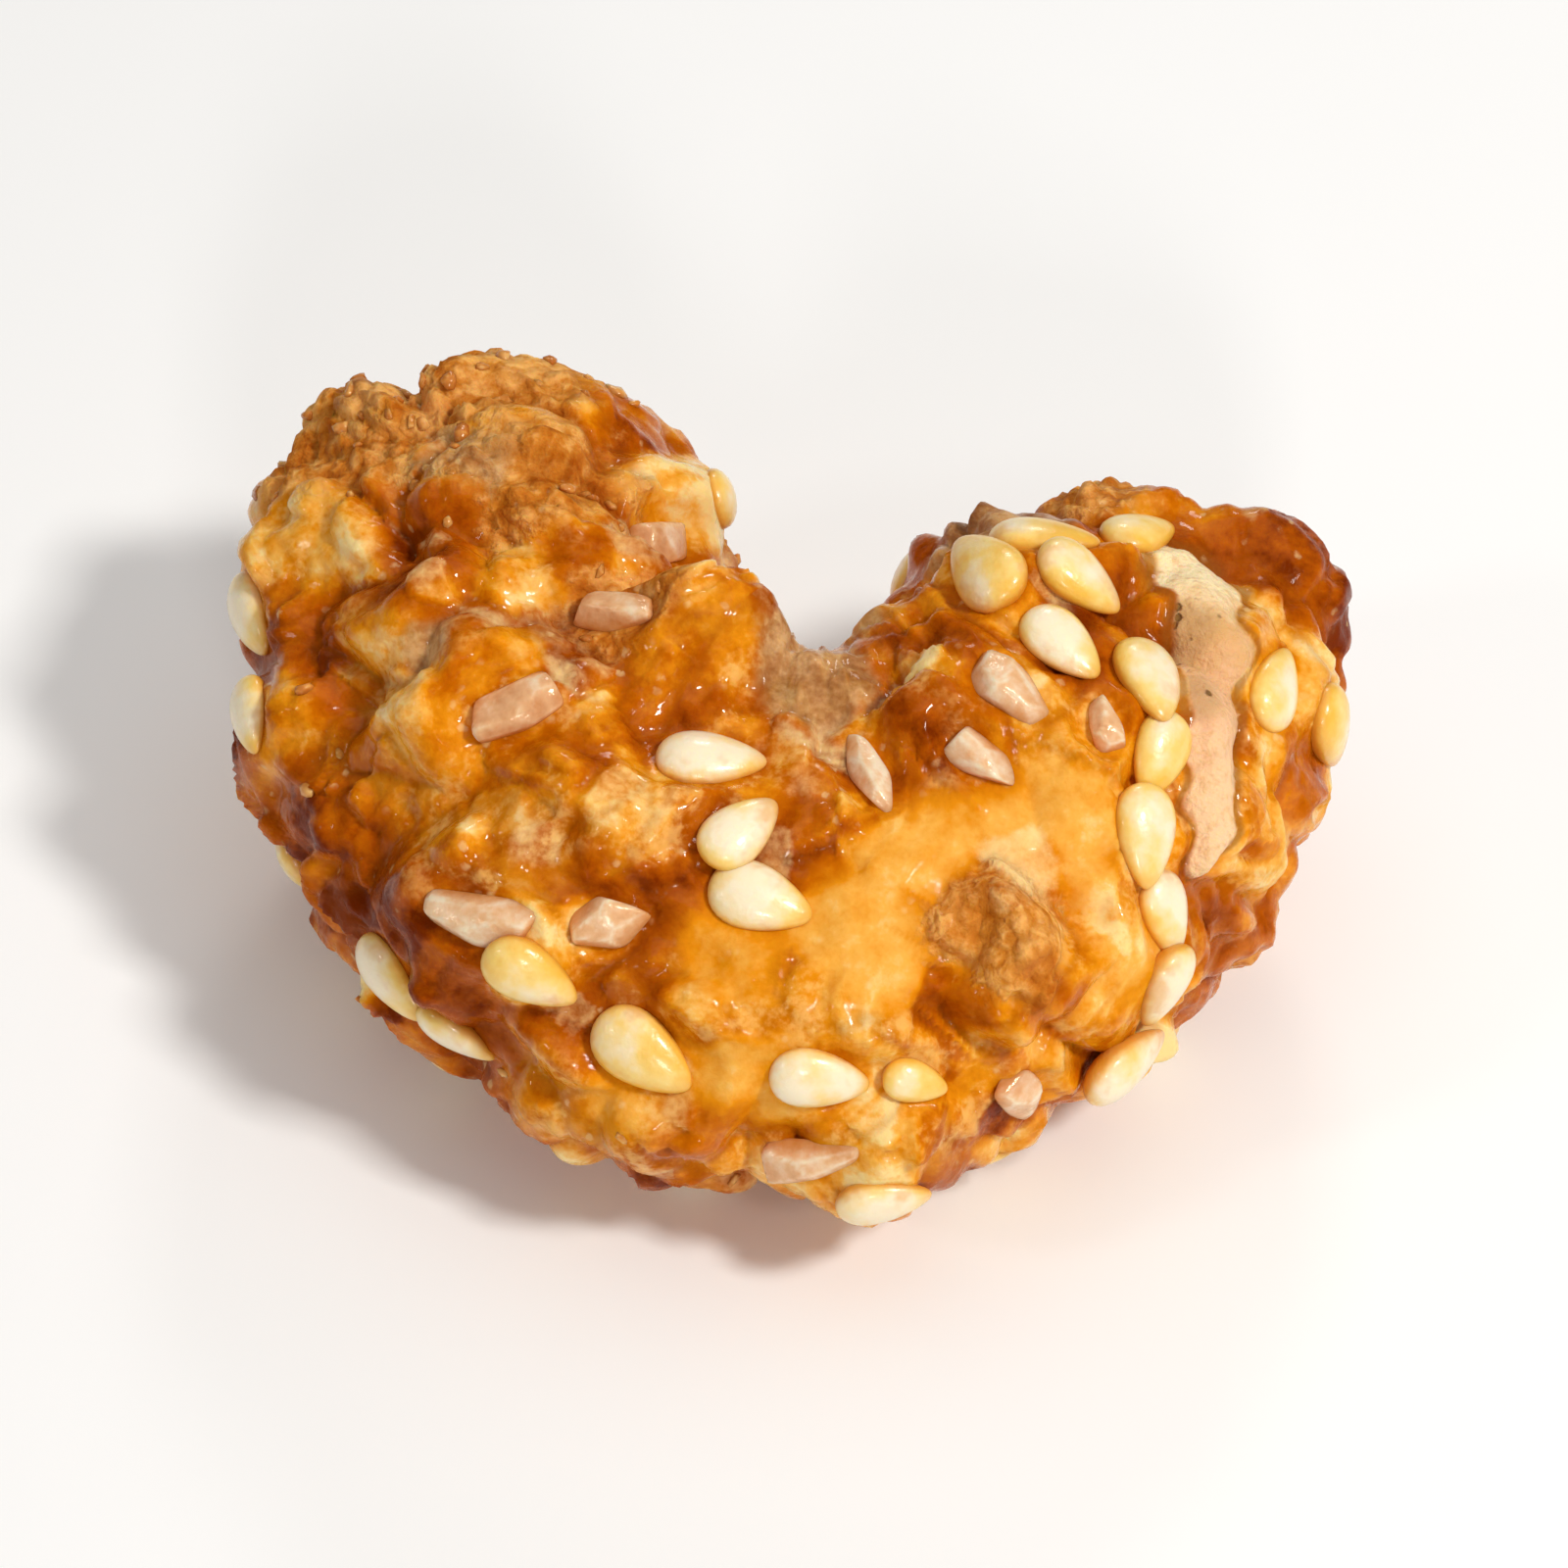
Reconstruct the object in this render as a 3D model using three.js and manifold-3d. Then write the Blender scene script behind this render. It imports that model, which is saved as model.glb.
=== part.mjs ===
// A caramelised cashew: one kidney-shaped kernel under a thick, lumpy coat of set caramel, with
// toasted sesame seeds and coarse sugar crystals stuck in the coat.
//
// The nut lies on its flat side on the floor, with Z up and the hollow of the crescent facing +Y.
// Its two lobes are thicker than its back, so the upper side leans a little towards -Y. The coat
// has pooled and set flat underneath, which leaves a small flat spot in the plane z = 0.
//
// The coat's skin is a round section carried along the crescent's centre line. Every place on it
// is given by two numbers from 0 to 1: "along", from the left lobe's tip to the right lobe's tip,
// and "around", a full turn that starts at the convex back and rises over the top of the nut.

import * as THREE from "three";
import { mergeVertices } from "three/addons/utils/BufferGeometryUtils.js";
import Module from "manifold-3d";

const TURN = 2 * Math.PI;

// Driving dimensions in millimetres, and angles in degrees. A section is an egg: "outer" is its half
// width from the centre line out, "inner" its half width into the hollow. A lobe's sizes are those
// at its tip, before the tip closes, and "roundness" is the exponent of the closing curve, where 2
// is an ellipse. "bend" is how far the centre line turns from the middle of the back to the lobe,
// and "reach" the straight stretch from there to the tip.
const BEND_RADIUS = 7.6;
const BACK = { outer: 6.8, inner: 6.7, halfHeight: 5.7 };
const LEFT_LOBE = { outer: 6.9, inner: 5.5, halfHeight: 7.0, roundness: 3.4, bend: 81, reach: 8.0 };
const RIGHT_LOBE = { outer: 7.2, inner: 7.3, halfHeight: 6.5, roundness: 3.0, bend: 73, reach: 5.8 };
const LOBE_SWELL = 1.4; // exponent with which the back grows into the lobes
const RIGHT_FLANK = { along: 0.77, reach: 0.2, slimming: 0.17 }; // where the outer side falls in
const FLAT_DEPTH = 0.35; // how much of the bare underside has set flat on the tray
const UNDERSIDE_RELIEF = 0.4; // share of the relief that is left where the coat has pooled
const HOLLOW_CLEARANCE = 1.2; // radius round the bend's own centre that relief stays out of
const HOLLOW_FADE = 3.2; // over which the relief grows back to its full height
const BEND_CENTRE = { x: 0.91, y: 4.13 }; // where the bend's own centre stands on the floor

// The skin's grid. A step is about 0.8 mm on the convex back.
const STEPS_ALONG = 76;
const STEPS_AROUND = 44;
const BACK_DENSITY = 0.25; // share by which steps round the section are shorter on the back

// Large lumps of caramel: place on the skin, radius and height in millimetres.
const LARGE_LUMPS = [
  { name: "crown of the left lobe", at: [0.12, 0.27], radius: 4.2, height: 0.9 },
  { name: "outer corner of the left lobe", at: [0.07, 0.1], radius: 3.9, height: 1.4 },
  { name: "outer side of the left lobe", at: [0.22, 0.06], radius: 3.4, height: 0.8 },
  { name: "nub by the hollow", at: [0.38, 0.33], radius: 2.6, height: 1.7 },
  { name: "ridge across the left lobe", at: [0.29, 0.2], radius: 2.9, height: 1.1 },
  { name: "left flank", at: [0.4, 0.12], radius: 3.2, height: 1.0 },
  { name: "glassy drop under the back", at: [0.58, 0.96], radius: 2.8, height: 1.5 },
  { name: "left of the drop", at: [0.46, 0.97], radius: 3.0, height: 0.9 },
  { name: "brown nub on the back", at: [0.63, 0.09], radius: 1.8, height: 1.2 },
  { name: "crown of the right lobe", at: [0.85, 0.3], radius: 3.4, height: 1.0 },
  { name: "wall of the hollow", at: [0.76, 0.42], radius: 2.6, height: 1.0 },
  { name: "lump before the right lobe", at: [0.7, 0.27], radius: 2.4, height: 1.0 },
  { name: "tip of the right lobe", at: [0.94, 0.1], radius: 2.8, height: 1.1 },
  { name: "foot of the left lobe", at: [0.14, 0.8], radius: 3.4, height: 0.9 },
  { name: "far side of the left lobe", at: [0.08, 0.45], radius: 3.0, height: 0.9 },
  { name: "far side of the right lobe", at: [0.93, 0.5], radius: 2.8, height: 0.9 },
];

// Small lumps are spread evenly over the skin, and grow smaller on the bare middle of the top.
const SMALL_LUMPS = 300;
const SMALL_LUMP_RADIUS = [0.95, 2.5];
const SMALL_LUMP_SHARPNESS = 0.42; // a small lump's height as a share of its radius
const SMALL_LUMP_BLEND = 4; // exponent of the sum that joins them: the higher, the sharper a crease
const BARE_PATCH = { at: [0.6, 0.14], radius: 6.0 };

// Bending the places before the lumps are measured makes the lumps' outlines uneven.
const WARP_REACH = 0.5;
const WARP_PITCH = 3.9;

// Sesame seeds: size, and how they lie.
const SEED_LENGTH = 3.0;
const SEED_WIDTH = 1.85;
const SEED_THICKNESS = 1.1;
const SEED_SIZE_SPREAD = 0.22; // largest share by which a seed is smaller than that
const SEED_SINK = [-0.05, 0.3]; // how far a seed's middle lies under the highest skin near it
const SEED_POINT = 0.34; // how much slimmer the pointed half is
const SEED_SIDES = 6;
const SEED_RINGS = 4;

// Seeds and crystals lie in chains and clusters. Each runs between two places on the skin, and
// its pieces stray up to half its breadth, in millimetres, to either side. Where neither is given, it
// is a single piece that doesn't stray. A seed's scale is a share of the usual size.
const SEED_GROUPS = [
  { name: "over the notch", from: [0.455, 0.236], to: [0.483, 0.248] },
  { name: "below the notch", from: [0.496, 0.194], to: [0.508, 0.206] },
  { name: "above the smooth middle", from: [0.503, 0.169], to: [0.533, 0.157] },
  { name: "left of the right crown", from: [0.78, 0.3], to: [0.812, 0.324] },
  { name: "middle of the right crown", from: [0.82, 0.3], to: [0.82, 0.226] },
  { name: "behind the right crown", from: [0.859, 0.33], to: [0.859, 0.254] },
  { name: "before the crown", from: [0.772, 0.28], to: [0.754, 0.228] },
  { name: "chain down the right flank", from: [0.797, 0.209], to: [0.698, 0.106], breadth: 0.2, count: 3 },
  { name: "rim of the right flank", from: [0.712, 0.094], to: [0.692, 0.002], breadth: 0.2, count: 2 },
  { name: "foot of the right flank", from: [0.66, 0.983], to: [0.688, 0.983] },
  { name: "beside the streak", from: [0.81, 0.107], to: [0.848, 0.119] },
  { name: "tip of the right lobe", from: [0.859, 0.07], to: [0.859, 0.02] },
  { name: "far end of the right lobe", from: [0.905, 0.26], to: [0.939, 0.232] },
  { name: "left of the back", from: [0.347, 0.012], to: [0.413, -0.004], breadth: 0.2, count: 2 },
  { name: "left flank", from: [0.418, 0.095], to: [0.446, 0.071] },
  { name: "foot of the back", from: [0.465, 0.06], to: [0.491, 0.04] },
  { name: "over the drop", from: [0.531, 0.052], to: [0.564, 0.046] },
  { name: "small, over the drop", from: [0.573, 0.043], to: [0.593, 0.035], scale: 0.62 },
  { name: "under the drop", from: [0.555, 0.971], to: [0.581, 0.971] },
  { name: "outer side of the left lobe", from: [0.123, 0.054], to: [0.289, 0.054], breadth: 0.2, count: 2 },
  { name: "foot of the left lobe", from: [0.24, 0.95], to: [0.32, 0.9], breadth: 1.8, count: 2 },
  { name: "far side of the left lobe", from: [0.12, 0.38], to: [0.05, 0.7], breadth: 3.4, count: 4 },
  { name: "wall of the hollow", from: [0.2, 0.44], to: [0.24, 0.52], breadth: 1.0, count: 2 },
  { name: "far side of the right lobe", from: [0.96, 0.36], to: [0.9, 0.66], breadth: 2.6, count: 4 },
  { name: "under the back", from: [0.3, 0.88], to: [0.8, 0.88], breadth: 3.0, count: 4 },
];

// Coarse sugar crystals. A group's size is their length and width.
const CRYSTAL_THICKNESS = 0.74; // as a share of its width
const CRYSTAL_SIDES = 6;
const CRYSTAL_ENDS = { lower: 0.35, upper: 0.28 }; // their radii, where the waist's is 0.5
const CRYSTAL_SINK = 0.15;
const CRYSTAL_GROUPS = [
  { name: "left flank, long", from: [0.385, 0.088], to: [0.427, 0.109], size: [2.7, 1.5] },
  { name: "left flank, short", from: [0.442, 0.122], to: [0.462, 0.131], size: [1.7, 1.5] },
  { name: "beside the white seed", from: [0.692, 0.272], to: [0.702, 0.231], size: [1.9, 1.6] },
  { name: "before the right lobe", from: [0.648, 0.25], to: [0.665, 0.203], size: [2.0, 1.1] },
  { name: "below the notch", from: [0.573, 0.281], to: [0.593, 0.209], size: [2.6, 1.1] },
  { name: "foot of the back", from: [0.529, 0.984], to: [0.561, 0.994], size: [2.3, 1.3] },
  { name: "beside the chain of seeds", from: [0.739, 0.209], to: [0.725, 0.181], size: [1.4, 1.1] },
  { name: "corner of the left lobe", from: [0.21, 0.335], to: [0.18, 0.375], size: [2.0, 1.5] },
  { name: "ridge of the left lobe", from: [0.305, 0.266], to: [0.33, 0.291], size: [1.9, 1.4] },
  { name: "over the ridge", from: [0.335, 0.181], to: [0.365, 0.225], size: [2.6, 1.7] },
  { name: "by the drop", from: [0.618, 0.031], to: [0.635, 0.963], size: [1.8, 1.4] },
  { name: "behind, left", from: [0.06, 0.5], to: [0.25, 0.7], breadth: 3, count: 3, size: [2.1, 1.6] },
  { name: "behind, right", from: [0.95, 0.42], to: [0.85, 0.7], breadth: 3, count: 3, size: [2.1, 1.6] },
];

// Even, unrepeating spread: the steps of the plane's best known low-discrepancy sequence.
const STEP_A = 0.7548776662466927;
const STEP_B = 0.5698402909980532;
const STEP_C = 0.6180339887498949;

const share = (x) => x - Math.floor(x);
const mix = (a, b, t) => a + (b - a) * t;
const clamp01 = (x) => Math.min(1, Math.max(0, x));

// A dome with a sharp foot, 1 at its centre and 0 from its radius outwards.
const dome = (distance, radius) => Math.max(0, 1 - (distance / radius) ** 2) ** 0.8;

// The centre line's point and outward direction, in the plane of the crescent.
function centreLine(along) {
  const left = THREE.MathUtils.degToRad(-LEFT_LOBE.bend);
  const right = THREE.MathUtils.degToRad(RIGHT_LOBE.bend);
  const bend = (right - left) * BEND_RADIUS;
  const walked = along * (LEFT_LOBE.reach + bend + RIGHT_LOBE.reach) - LEFT_LOBE.reach;
  const onBend = Math.min(bend, Math.max(0, walked));
  const angle = left + onBend / BEND_RADIUS;
  const beyond = walked - onBend;
  const outward = new THREE.Vector3(Math.sin(angle), -Math.cos(angle), 0);
  const forward = new THREE.Vector3(Math.cos(angle), Math.sin(angle), 0);
  const point = outward.clone().multiplyScalar(BEND_RADIUS).addScaledVector(forward, beyond);
  return { point, outward, forward };
}

// The section at a place: its half widths outwards and inwards and its half height, and "closing",
// which is 1 in the middle of the nut and falls to nothing at the tips.
function section(along) {
  const side = along < 0.5 ? LEFT_LOBE : RIGHT_LOBE;
  const fromMiddle = Math.abs(2 * along - 1);
  const lobe = fromMiddle ** LOBE_SWELL;
  const flank = dome(along - RIGHT_FLANK.along, RIGHT_FLANK.reach);
  return {
    closing: (1 - fromMiddle ** side.roundness) ** (1 / side.roundness),
    outer: mix(BACK.outer, side.outer, lobe) * (1 - RIGHT_FLANK.slimming * flank),
    inner: mix(BACK.inner, side.inner, lobe),
    halfHeight: mix(BACK.halfHeight, side.halfHeight, lobe),
  };
}

// The bare skin, before any relief.
function skin(along, around) {
  const { point, outward } = centreLine(along);
  const { closing, outer, inner, halfHeight } = section(along);
  const turn = around * TURN;
  const halfWidth = Math.cos(turn) > 0 ? outer : inner;
  return point
    .addScaledVector(outward, halfWidth * closing * Math.cos(turn))
    .add(new THREE.Vector3(0, 0, halfHeight * (1 + closing * Math.sin(turn)) - FLAT_DEPTH));
}

function warped(place) {
  const k = TURN / WARP_PITCH;
  return new THREE.Vector3(
    place.x + WARP_REACH * Math.sin(k * (place.y + 0.7 * place.z)),
    place.y + WARP_REACH * Math.sin(k * (place.z + 0.7 * place.x) + 2),
    place.z + WARP_REACH * Math.sin(k * (place.x + 0.7 * place.y) + 4),
  );
}

// The direction out of a surface given by two numbers, from its slopes both ways.
function outOf(surface, along, around, reach) {
  const a0 = Math.max(0.004, along - reach);
  const a1 = Math.min(0.996, along + reach);
  const alongWay = surface(a1, around).sub(surface(a0, around));
  const middle = (a0 + a1) / 2;
  const aroundWay = surface(middle, around + reach).sub(surface(middle, around - reach));
  return alongWay.cross(aroundWay).normalize();
}

function skinNormal(along, around) {
  if (along <= 0 || along >= 1) {
    const { forward } = centreLine(along);
    return along <= 0 ? forward.negate() : forward;
  }
  return outOf(skin, along, around, 0.004);
}

// Walking the convex back evenly from tip to tip: the place along the nut at each share of the way.
function evenWalk() {
  const steps = 600;
  const walked = [0];
  for (let i = 1; i <= steps; i++) {
    const stride = skin(i / steps, 0).distanceTo(skin((i - 1) / steps, 0));
    walked.push(walked[i - 1] + stride);
  }
  return (part) => {
    const goal = part * walked[steps];
    const i = Math.max(1, walked.findIndex((way) => way >= goal));
    return (i - 1 + (goal - walked[i - 1]) / (walked[i] - walked[i - 1])) / steps;
  };
}

const evenAlong = evenWalk();

function makeLumps() {
  const lumps = LARGE_LUMPS.map((lump) => ({ ...lump, centre: warped(skin(...lump.at)) }));
  const bareCentre = warped(skin(...BARE_PATCH.at));
  for (let i = 0; i < SMALL_LUMPS; i++) {
    const centre = warped(skin(evenAlong(share(0.11 + i * STEP_A)), share(0.37 + i * STEP_B)));
    const radius = mix(...SMALL_LUMP_RADIUS, share(i * STEP_C) ** 1.4);
    const bare = dome(centre.distanceTo(bareCentre), BARE_PATCH.radius);
    lumps.push({ centre, radius, height: radius * SMALL_LUMP_SHARPNESS * (1 - bare) });
  }
  return lumps;
}

const lumps = makeLumps();

// Relief height above the bare skin. The large lumps swell the coat, and the small ones lie on
// them side by side, with a soft crease where two meet.
function relief(place, around) {
  const bent = warped(place);
  let large = 0;
  let small = 0;
  for (const lump of lumps) {
    const height = lump.height * dome(bent.distanceTo(lump.centre), lump.radius);
    if (lump.name) large = Math.max(large, height);
    else small += height ** SMALL_LUMP_BLEND;
  }
  const fromHollow = Math.hypot(place.x, place.y) - HOLLOW_CLEARANCE;
  const below = clamp01(-Math.sin(around * TURN));
  const left = clamp01(fromHollow / HOLLOW_FADE) * mix(1, UNDERSIDE_RELIEF, below);
  return (large + small ** (1 / SMALL_LUMP_BLEND)) * left;
}

function coat(along, around) {
  const place = skin(along, around);
  return place.clone().addScaledVector(skinNormal(along, around), relief(place, around));
}

// The coat as one closed mesh: a point at each tip, and rings between them.
function coatGeometry() {
  const points = [coat(0, 0)];
  for (let i = 1; i < STEPS_ALONG; i++) {
    const along = evenAlong(i / STEPS_ALONG);
    for (let j = 0; j < STEPS_AROUND; j++) {
      const even = j / STEPS_AROUND;
      points.push(coat(along, even - (BACK_DENSITY * Math.sin(even * TURN)) / TURN));
    }
  }
  points.push(coat(1, 0));
  const last = points.length - 1;
  const at = (ring, j) => 1 + ring * STEPS_AROUND + (j % STEPS_AROUND);
  const faces = [];
  for (let j = 0; j < STEPS_AROUND; j++) {
    faces.push(0, at(0, j), at(0, j + 1));
    for (let ring = 0; ring < STEPS_ALONG - 2; ring++) {
      faces.push(at(ring, j), at(ring + 1, j), at(ring, j + 1));
      faces.push(at(ring, j + 1), at(ring + 1, j), at(ring + 1, j + 1));
    }
    faces.push(last, at(STEPS_ALONG - 2, j + 1), at(STEPS_ALONG - 2, j));
  }
  return new THREE.BufferGeometry().setFromPoints(points).setIndex(faces);
}

// A place and a pose on the finished coat, for something of a given thickness that lies on it. Its
// middle is raised to the highest coat near it, but by no more than leaves its underside in the coat.
function seat(along, around, thickness, sink, turn) {
  const out = outOf(coat, along, around, 0.03);
  const { forward } = centreLine(along);
  const side = new THREE.Vector3().crossVectors(out, forward).normalize();
  const ahead = new THREE.Vector3().crossVectors(side, out);
  const long = ahead.multiplyScalar(Math.cos(turn)).addScaledVector(side, Math.sin(turn));
  const wide = new THREE.Vector3().crossVectors(out, long);
  const middle = coat(along, around);
  const near = [
    [0.02, 0],
    [-0.02, 0],
    [0, 0.02],
    [0, -0.02],
  ].map(([a, r]) => coat(Math.min(1, Math.max(0, along + a)), around + r));
  const highest = Math.max(0, ...near.map((point) => point.sub(middle).dot(out)));
  const frame = new THREE.Matrix4().makeBasis(long, wide, out);
  return frame.setPosition(middle.addScaledVector(out, Math.min(highest, thickness / 2) - sink));
}

// A sesame seed along X: round at one end and pointed at the other, flattened along Z.
function seedGeometry(size) {
  const profile = [];
  for (let i = 0; i <= SEED_RINGS; i++) {
    const x = -Math.cos((Math.PI * i) / SEED_RINGS);
    const girth = i % SEED_RINGS === 0 ? 0 : Math.sqrt(1 - x * x) * (1 - SEED_POINT * x);
    profile.push(new THREE.Vector2((girth * SEED_WIDTH * size) / 2, (x * SEED_LENGTH * size) / 2));
  }
  const seed = new THREE.LatheGeometry(profile, SEED_SIDES);
  return seed.rotateZ(-Math.PI / 2).scale(1, 1, SEED_THICKNESS / SEED_WIDTH);
}

// A group's places on the skin, evenly along its run and straying to either side of it.
function groupPlaces({ from, to, breadth = 0, count = 1 }) {
  const nudge = 0.01;
  const [alongRun, aroundRun] = [to[0] - from[0], wrapped(to[1] - from[1])];
  return Array.from({ length: count }, (_, i) => {
    const part = (i + 0.5) / count;
    const along = from[0] + alongRun * part;
    const around = from[1] + aroundRun * part;
    const here = skin(along, around);
    const alongScale = skin(along + nudge, around).distanceTo(here) / nudge;
    const aroundScale = skin(along, around + nudge).distanceTo(here) / nudge;
    const ahead = new THREE.Vector2(alongRun * alongScale, aroundRun * aroundScale);
    const stray = breadth * (share(0.25 + i * STEP_C + from[0]) - 0.5);
    const turn = Math.atan2(ahead.y, ahead.x);
    return {
      along: Math.min(0.985, Math.max(0.015, along - (stray * Math.sin(turn)) / alongScale)),
      around: around + (stray * Math.cos(turn)) / aroundScale,
      turn,
    };
  });
}

// The short way round: a change of "around" brought to between -1/2 and 1/2.
function wrapped(change) {
  return change - Math.round(change);
}

// Toppings in a narrow chain lie nearly along it, and in a cluster any way.
function laid(groups) {
  const places = groups.flatMap((group) => groupPlaces(group).map((place) => ({ ...group, ...place })));
  return places.map((place, i) => {
    const freedom = clamp01(0.06 + (place.breadth ?? 0) / 4);
    return { ...place, lie: place.turn + TURN * freedom * (share(0.2 + i * STEP_A) - 0.5) };
  });
}

function seedGeometries() {
  return laid(SEED_GROUPS).map(({ along, around, lie, scale = 1 }, i) => {
    const size = scale * (1 - SEED_SIZE_SPREAD * share(0.3 + i * STEP_B));
    const sink = mix(...SEED_SINK, share(0.6 + i * STEP_C));
    return seedGeometry(size).applyMatrix4(seat(along, around, SEED_THICKNESS, sink, lie));
  });
}

// A crystal is a six-sided block with flat ends and a waist, longest along X and flattened along Z.
function crystalGeometry() {
  const { lower, upper } = CRYSTAL_ENDS;
  const profile = [[0, -0.5], [lower, -0.5], [0.5, 0], [upper, 0.5], [0, 0.5]];
  const points = profile.map(([radius, height]) => new THREE.Vector2(radius, height));
  return new THREE.LatheGeometry(points, CRYSTAL_SIDES).rotateZ(-Math.PI / 2);
}

function crystalGeometries() {
  return laid(CRYSTAL_GROUPS).map(({ along, around, lie, size: [long, wide] }, i) => {
    const thick = wide * CRYSTAL_THICKNESS;
    const crystal = crystalGeometry().rotateX(i).scale(long, wide, thick);
    return crystal.applyMatrix4(seat(along, around, thick, CRYSTAL_SINK, lie));
  });
}

const wasm = await Module();
wasm.setup();

// A closed geometry as a solid. Only its shared corners are kept.
function solidOf(geometry) {
  geometry.deleteAttribute("normal");
  geometry.deleteAttribute("uv");
  const merged = mergeVertices(geometry, 1e-4);
  const vertProperties = new Float32Array(merged.attributes.position.array);
  const triVerts = new Uint32Array(merged.index.array);
  return new wasm.Manifold(new wasm.Mesh({ numProp: 3, vertProperties, triVerts }));
}

function geometryOf(solid) {
  const { vertProperties, triVerts } = solid.getMesh();
  return new THREE.BufferGeometry()
    .setAttribute("position", new THREE.BufferAttribute(vertProperties, 3))
    .setIndex(new THREE.BufferAttribute(triVerts, 1));
}

function nutSolid() {
  const toppings = [...seedGeometries(), ...crystalGeometries()];
  const whole = toppings.reduce((sum, topping) => sum.add(solidOf(topping)), solidOf(coatGeometry()));
  const tray = new THREE.BoxGeometry(80, 80, 20).translate(0, 0, -10);
  return whole.subtract(solidOf(tray));
}

const caramel = new THREE.MeshStandardMaterial({ color: 0xc87a26, roughness: 0.35, metalness: 0 });
const nut = new THREE.Mesh(geometryOf(nutSolid()), caramel);
nut.name = "caramelized_cashew";
nut.position.set(BEND_CENTRE.x, BEND_CENTRE.y, 0);

const part = new THREE.Group();
part.add(nut);

export default part;
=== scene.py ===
"""Looks of a caramelised cashew that lies on a pale table.

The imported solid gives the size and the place. What shows is worked out again from the same named
sizes, finely enough for a close look: the lumpy coat of set caramel, the sesame seeds and coarse
sugar crystals that are stuck in it, and the fine sugar between them.

Sizes in the classes are in millimetres, in the frame of the crescent's bend, whose middle is the
origin. Crescent.to_frame carries finished points to the shared frame, in metres.
"""

import logging
import math
from collections.abc import Callable, Iterator, Mapping, Sequence
from dataclasses import dataclass, replace
from enum import Enum

import bpy
import numpy as np
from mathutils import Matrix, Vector


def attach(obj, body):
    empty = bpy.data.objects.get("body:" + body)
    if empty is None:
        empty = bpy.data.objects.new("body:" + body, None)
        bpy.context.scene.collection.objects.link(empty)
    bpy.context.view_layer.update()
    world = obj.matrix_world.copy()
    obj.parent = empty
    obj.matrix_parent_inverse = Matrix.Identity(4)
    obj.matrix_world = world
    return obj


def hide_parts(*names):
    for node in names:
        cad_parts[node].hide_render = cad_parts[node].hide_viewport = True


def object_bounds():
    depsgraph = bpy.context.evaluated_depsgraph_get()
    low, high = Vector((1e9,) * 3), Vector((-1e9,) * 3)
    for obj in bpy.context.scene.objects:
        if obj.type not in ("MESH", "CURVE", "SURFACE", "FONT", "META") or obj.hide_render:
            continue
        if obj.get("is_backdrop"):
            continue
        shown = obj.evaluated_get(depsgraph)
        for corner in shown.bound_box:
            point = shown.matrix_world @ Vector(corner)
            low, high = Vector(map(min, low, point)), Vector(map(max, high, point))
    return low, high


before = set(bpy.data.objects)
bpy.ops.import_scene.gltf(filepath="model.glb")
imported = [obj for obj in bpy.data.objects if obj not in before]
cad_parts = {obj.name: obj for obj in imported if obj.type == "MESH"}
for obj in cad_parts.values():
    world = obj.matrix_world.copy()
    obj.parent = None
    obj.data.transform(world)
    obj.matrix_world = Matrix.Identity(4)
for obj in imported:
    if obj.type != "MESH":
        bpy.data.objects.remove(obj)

LOG = logging.getLogger("cashew")
NODE = "caramelized_cashew"
TURN = 2 * math.pi
MM = 0.001

# Steps whose multiples, without their whole parts, lie evenly: A and B over a plane, C on a line.
# A number that is added to the multiples says where such a run starts.
STEP_A = 0.7548776662466927
STEP_B = 0.5698402909980532
STEP_C = 0.6180339887498949

# The skin closes to a point at its tips, so slopes are taken no nearer to a tip than this.
TIP_MARGIN = 0.004

# A reach that stands for nothing near.
FAR = 9.0

Array = np.ndarray
Place = tuple[float, float]
Span = tuple[float, float]
Surface = Callable[[Array, Array], Array]
Triple = tuple[Array, Array, Array]


def share(x: Array | float) -> Array | float:
    """Fractional part of x."""
    return x - np.floor(x)


def mix(a: Array | float, b: Array | float, t: Array | float) -> Array | float:
    """Straight blend from a to b as t goes from 0 to 1."""
    return a + (b - a) * t


def smooth(low: float, high: float, x: Array) -> Array:
    """Cubic step from 0 at low to 1 at high: 3t squared minus 2t cubed."""
    t = np.clip((x - low) / (high - low), 0.0, 1.0)
    return t * t * (3.0 - 2.0 * t)


def dome(distance: Array, radius: Array | float) -> Array:
    """Dome with a sharp foot: (1 - (distance / radius) squared) to the power 0.8, never below 0."""
    return np.maximum(0.0, 1.0 - (distance / radius) ** 2) ** 0.8


def length(vectors: Array) -> Array:
    """Length of each vector in the last axis."""
    return np.sqrt((vectors * vectors).sum(axis=-1))


def unit(vectors: Array) -> Array:
    """Vectors scaled to length 1."""
    return vectors / np.maximum(length(vectors), 1e-12)[..., None]


@dataclass(frozen=True)
class Swell:
    """Uneven swell of a height, made of plane waves of about a pitch, in millimetres.

    The spread is what the waves' own pitches are, as shares of that pitch.
    """

    height: float
    pitch: float
    seed: int
    waves: int = 18
    spread: Span = (0.7, 1.5)

    def over(self, points: Array) -> Array:
        """Sum of waves whose ways, pitches and phases are drawn: mostly within the height.

        Args:
            points: Points, in millimetres.

        Returns:
            One number for each point.
        """
        random = np.random.default_rng(self.seed)
        ways = unit(random.normal(size=(self.waves, 3)))
        rates = TURN / (self.pitch * random.uniform(*self.spread, self.waves))
        phases = random.uniform(0.0, TURN, self.waves)
        waves = np.sin(points @ (ways * rates[:, None]).T + phases)
        return self.height * (waves.sum(axis=-1) / math.sqrt(2 * self.waves))


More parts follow.
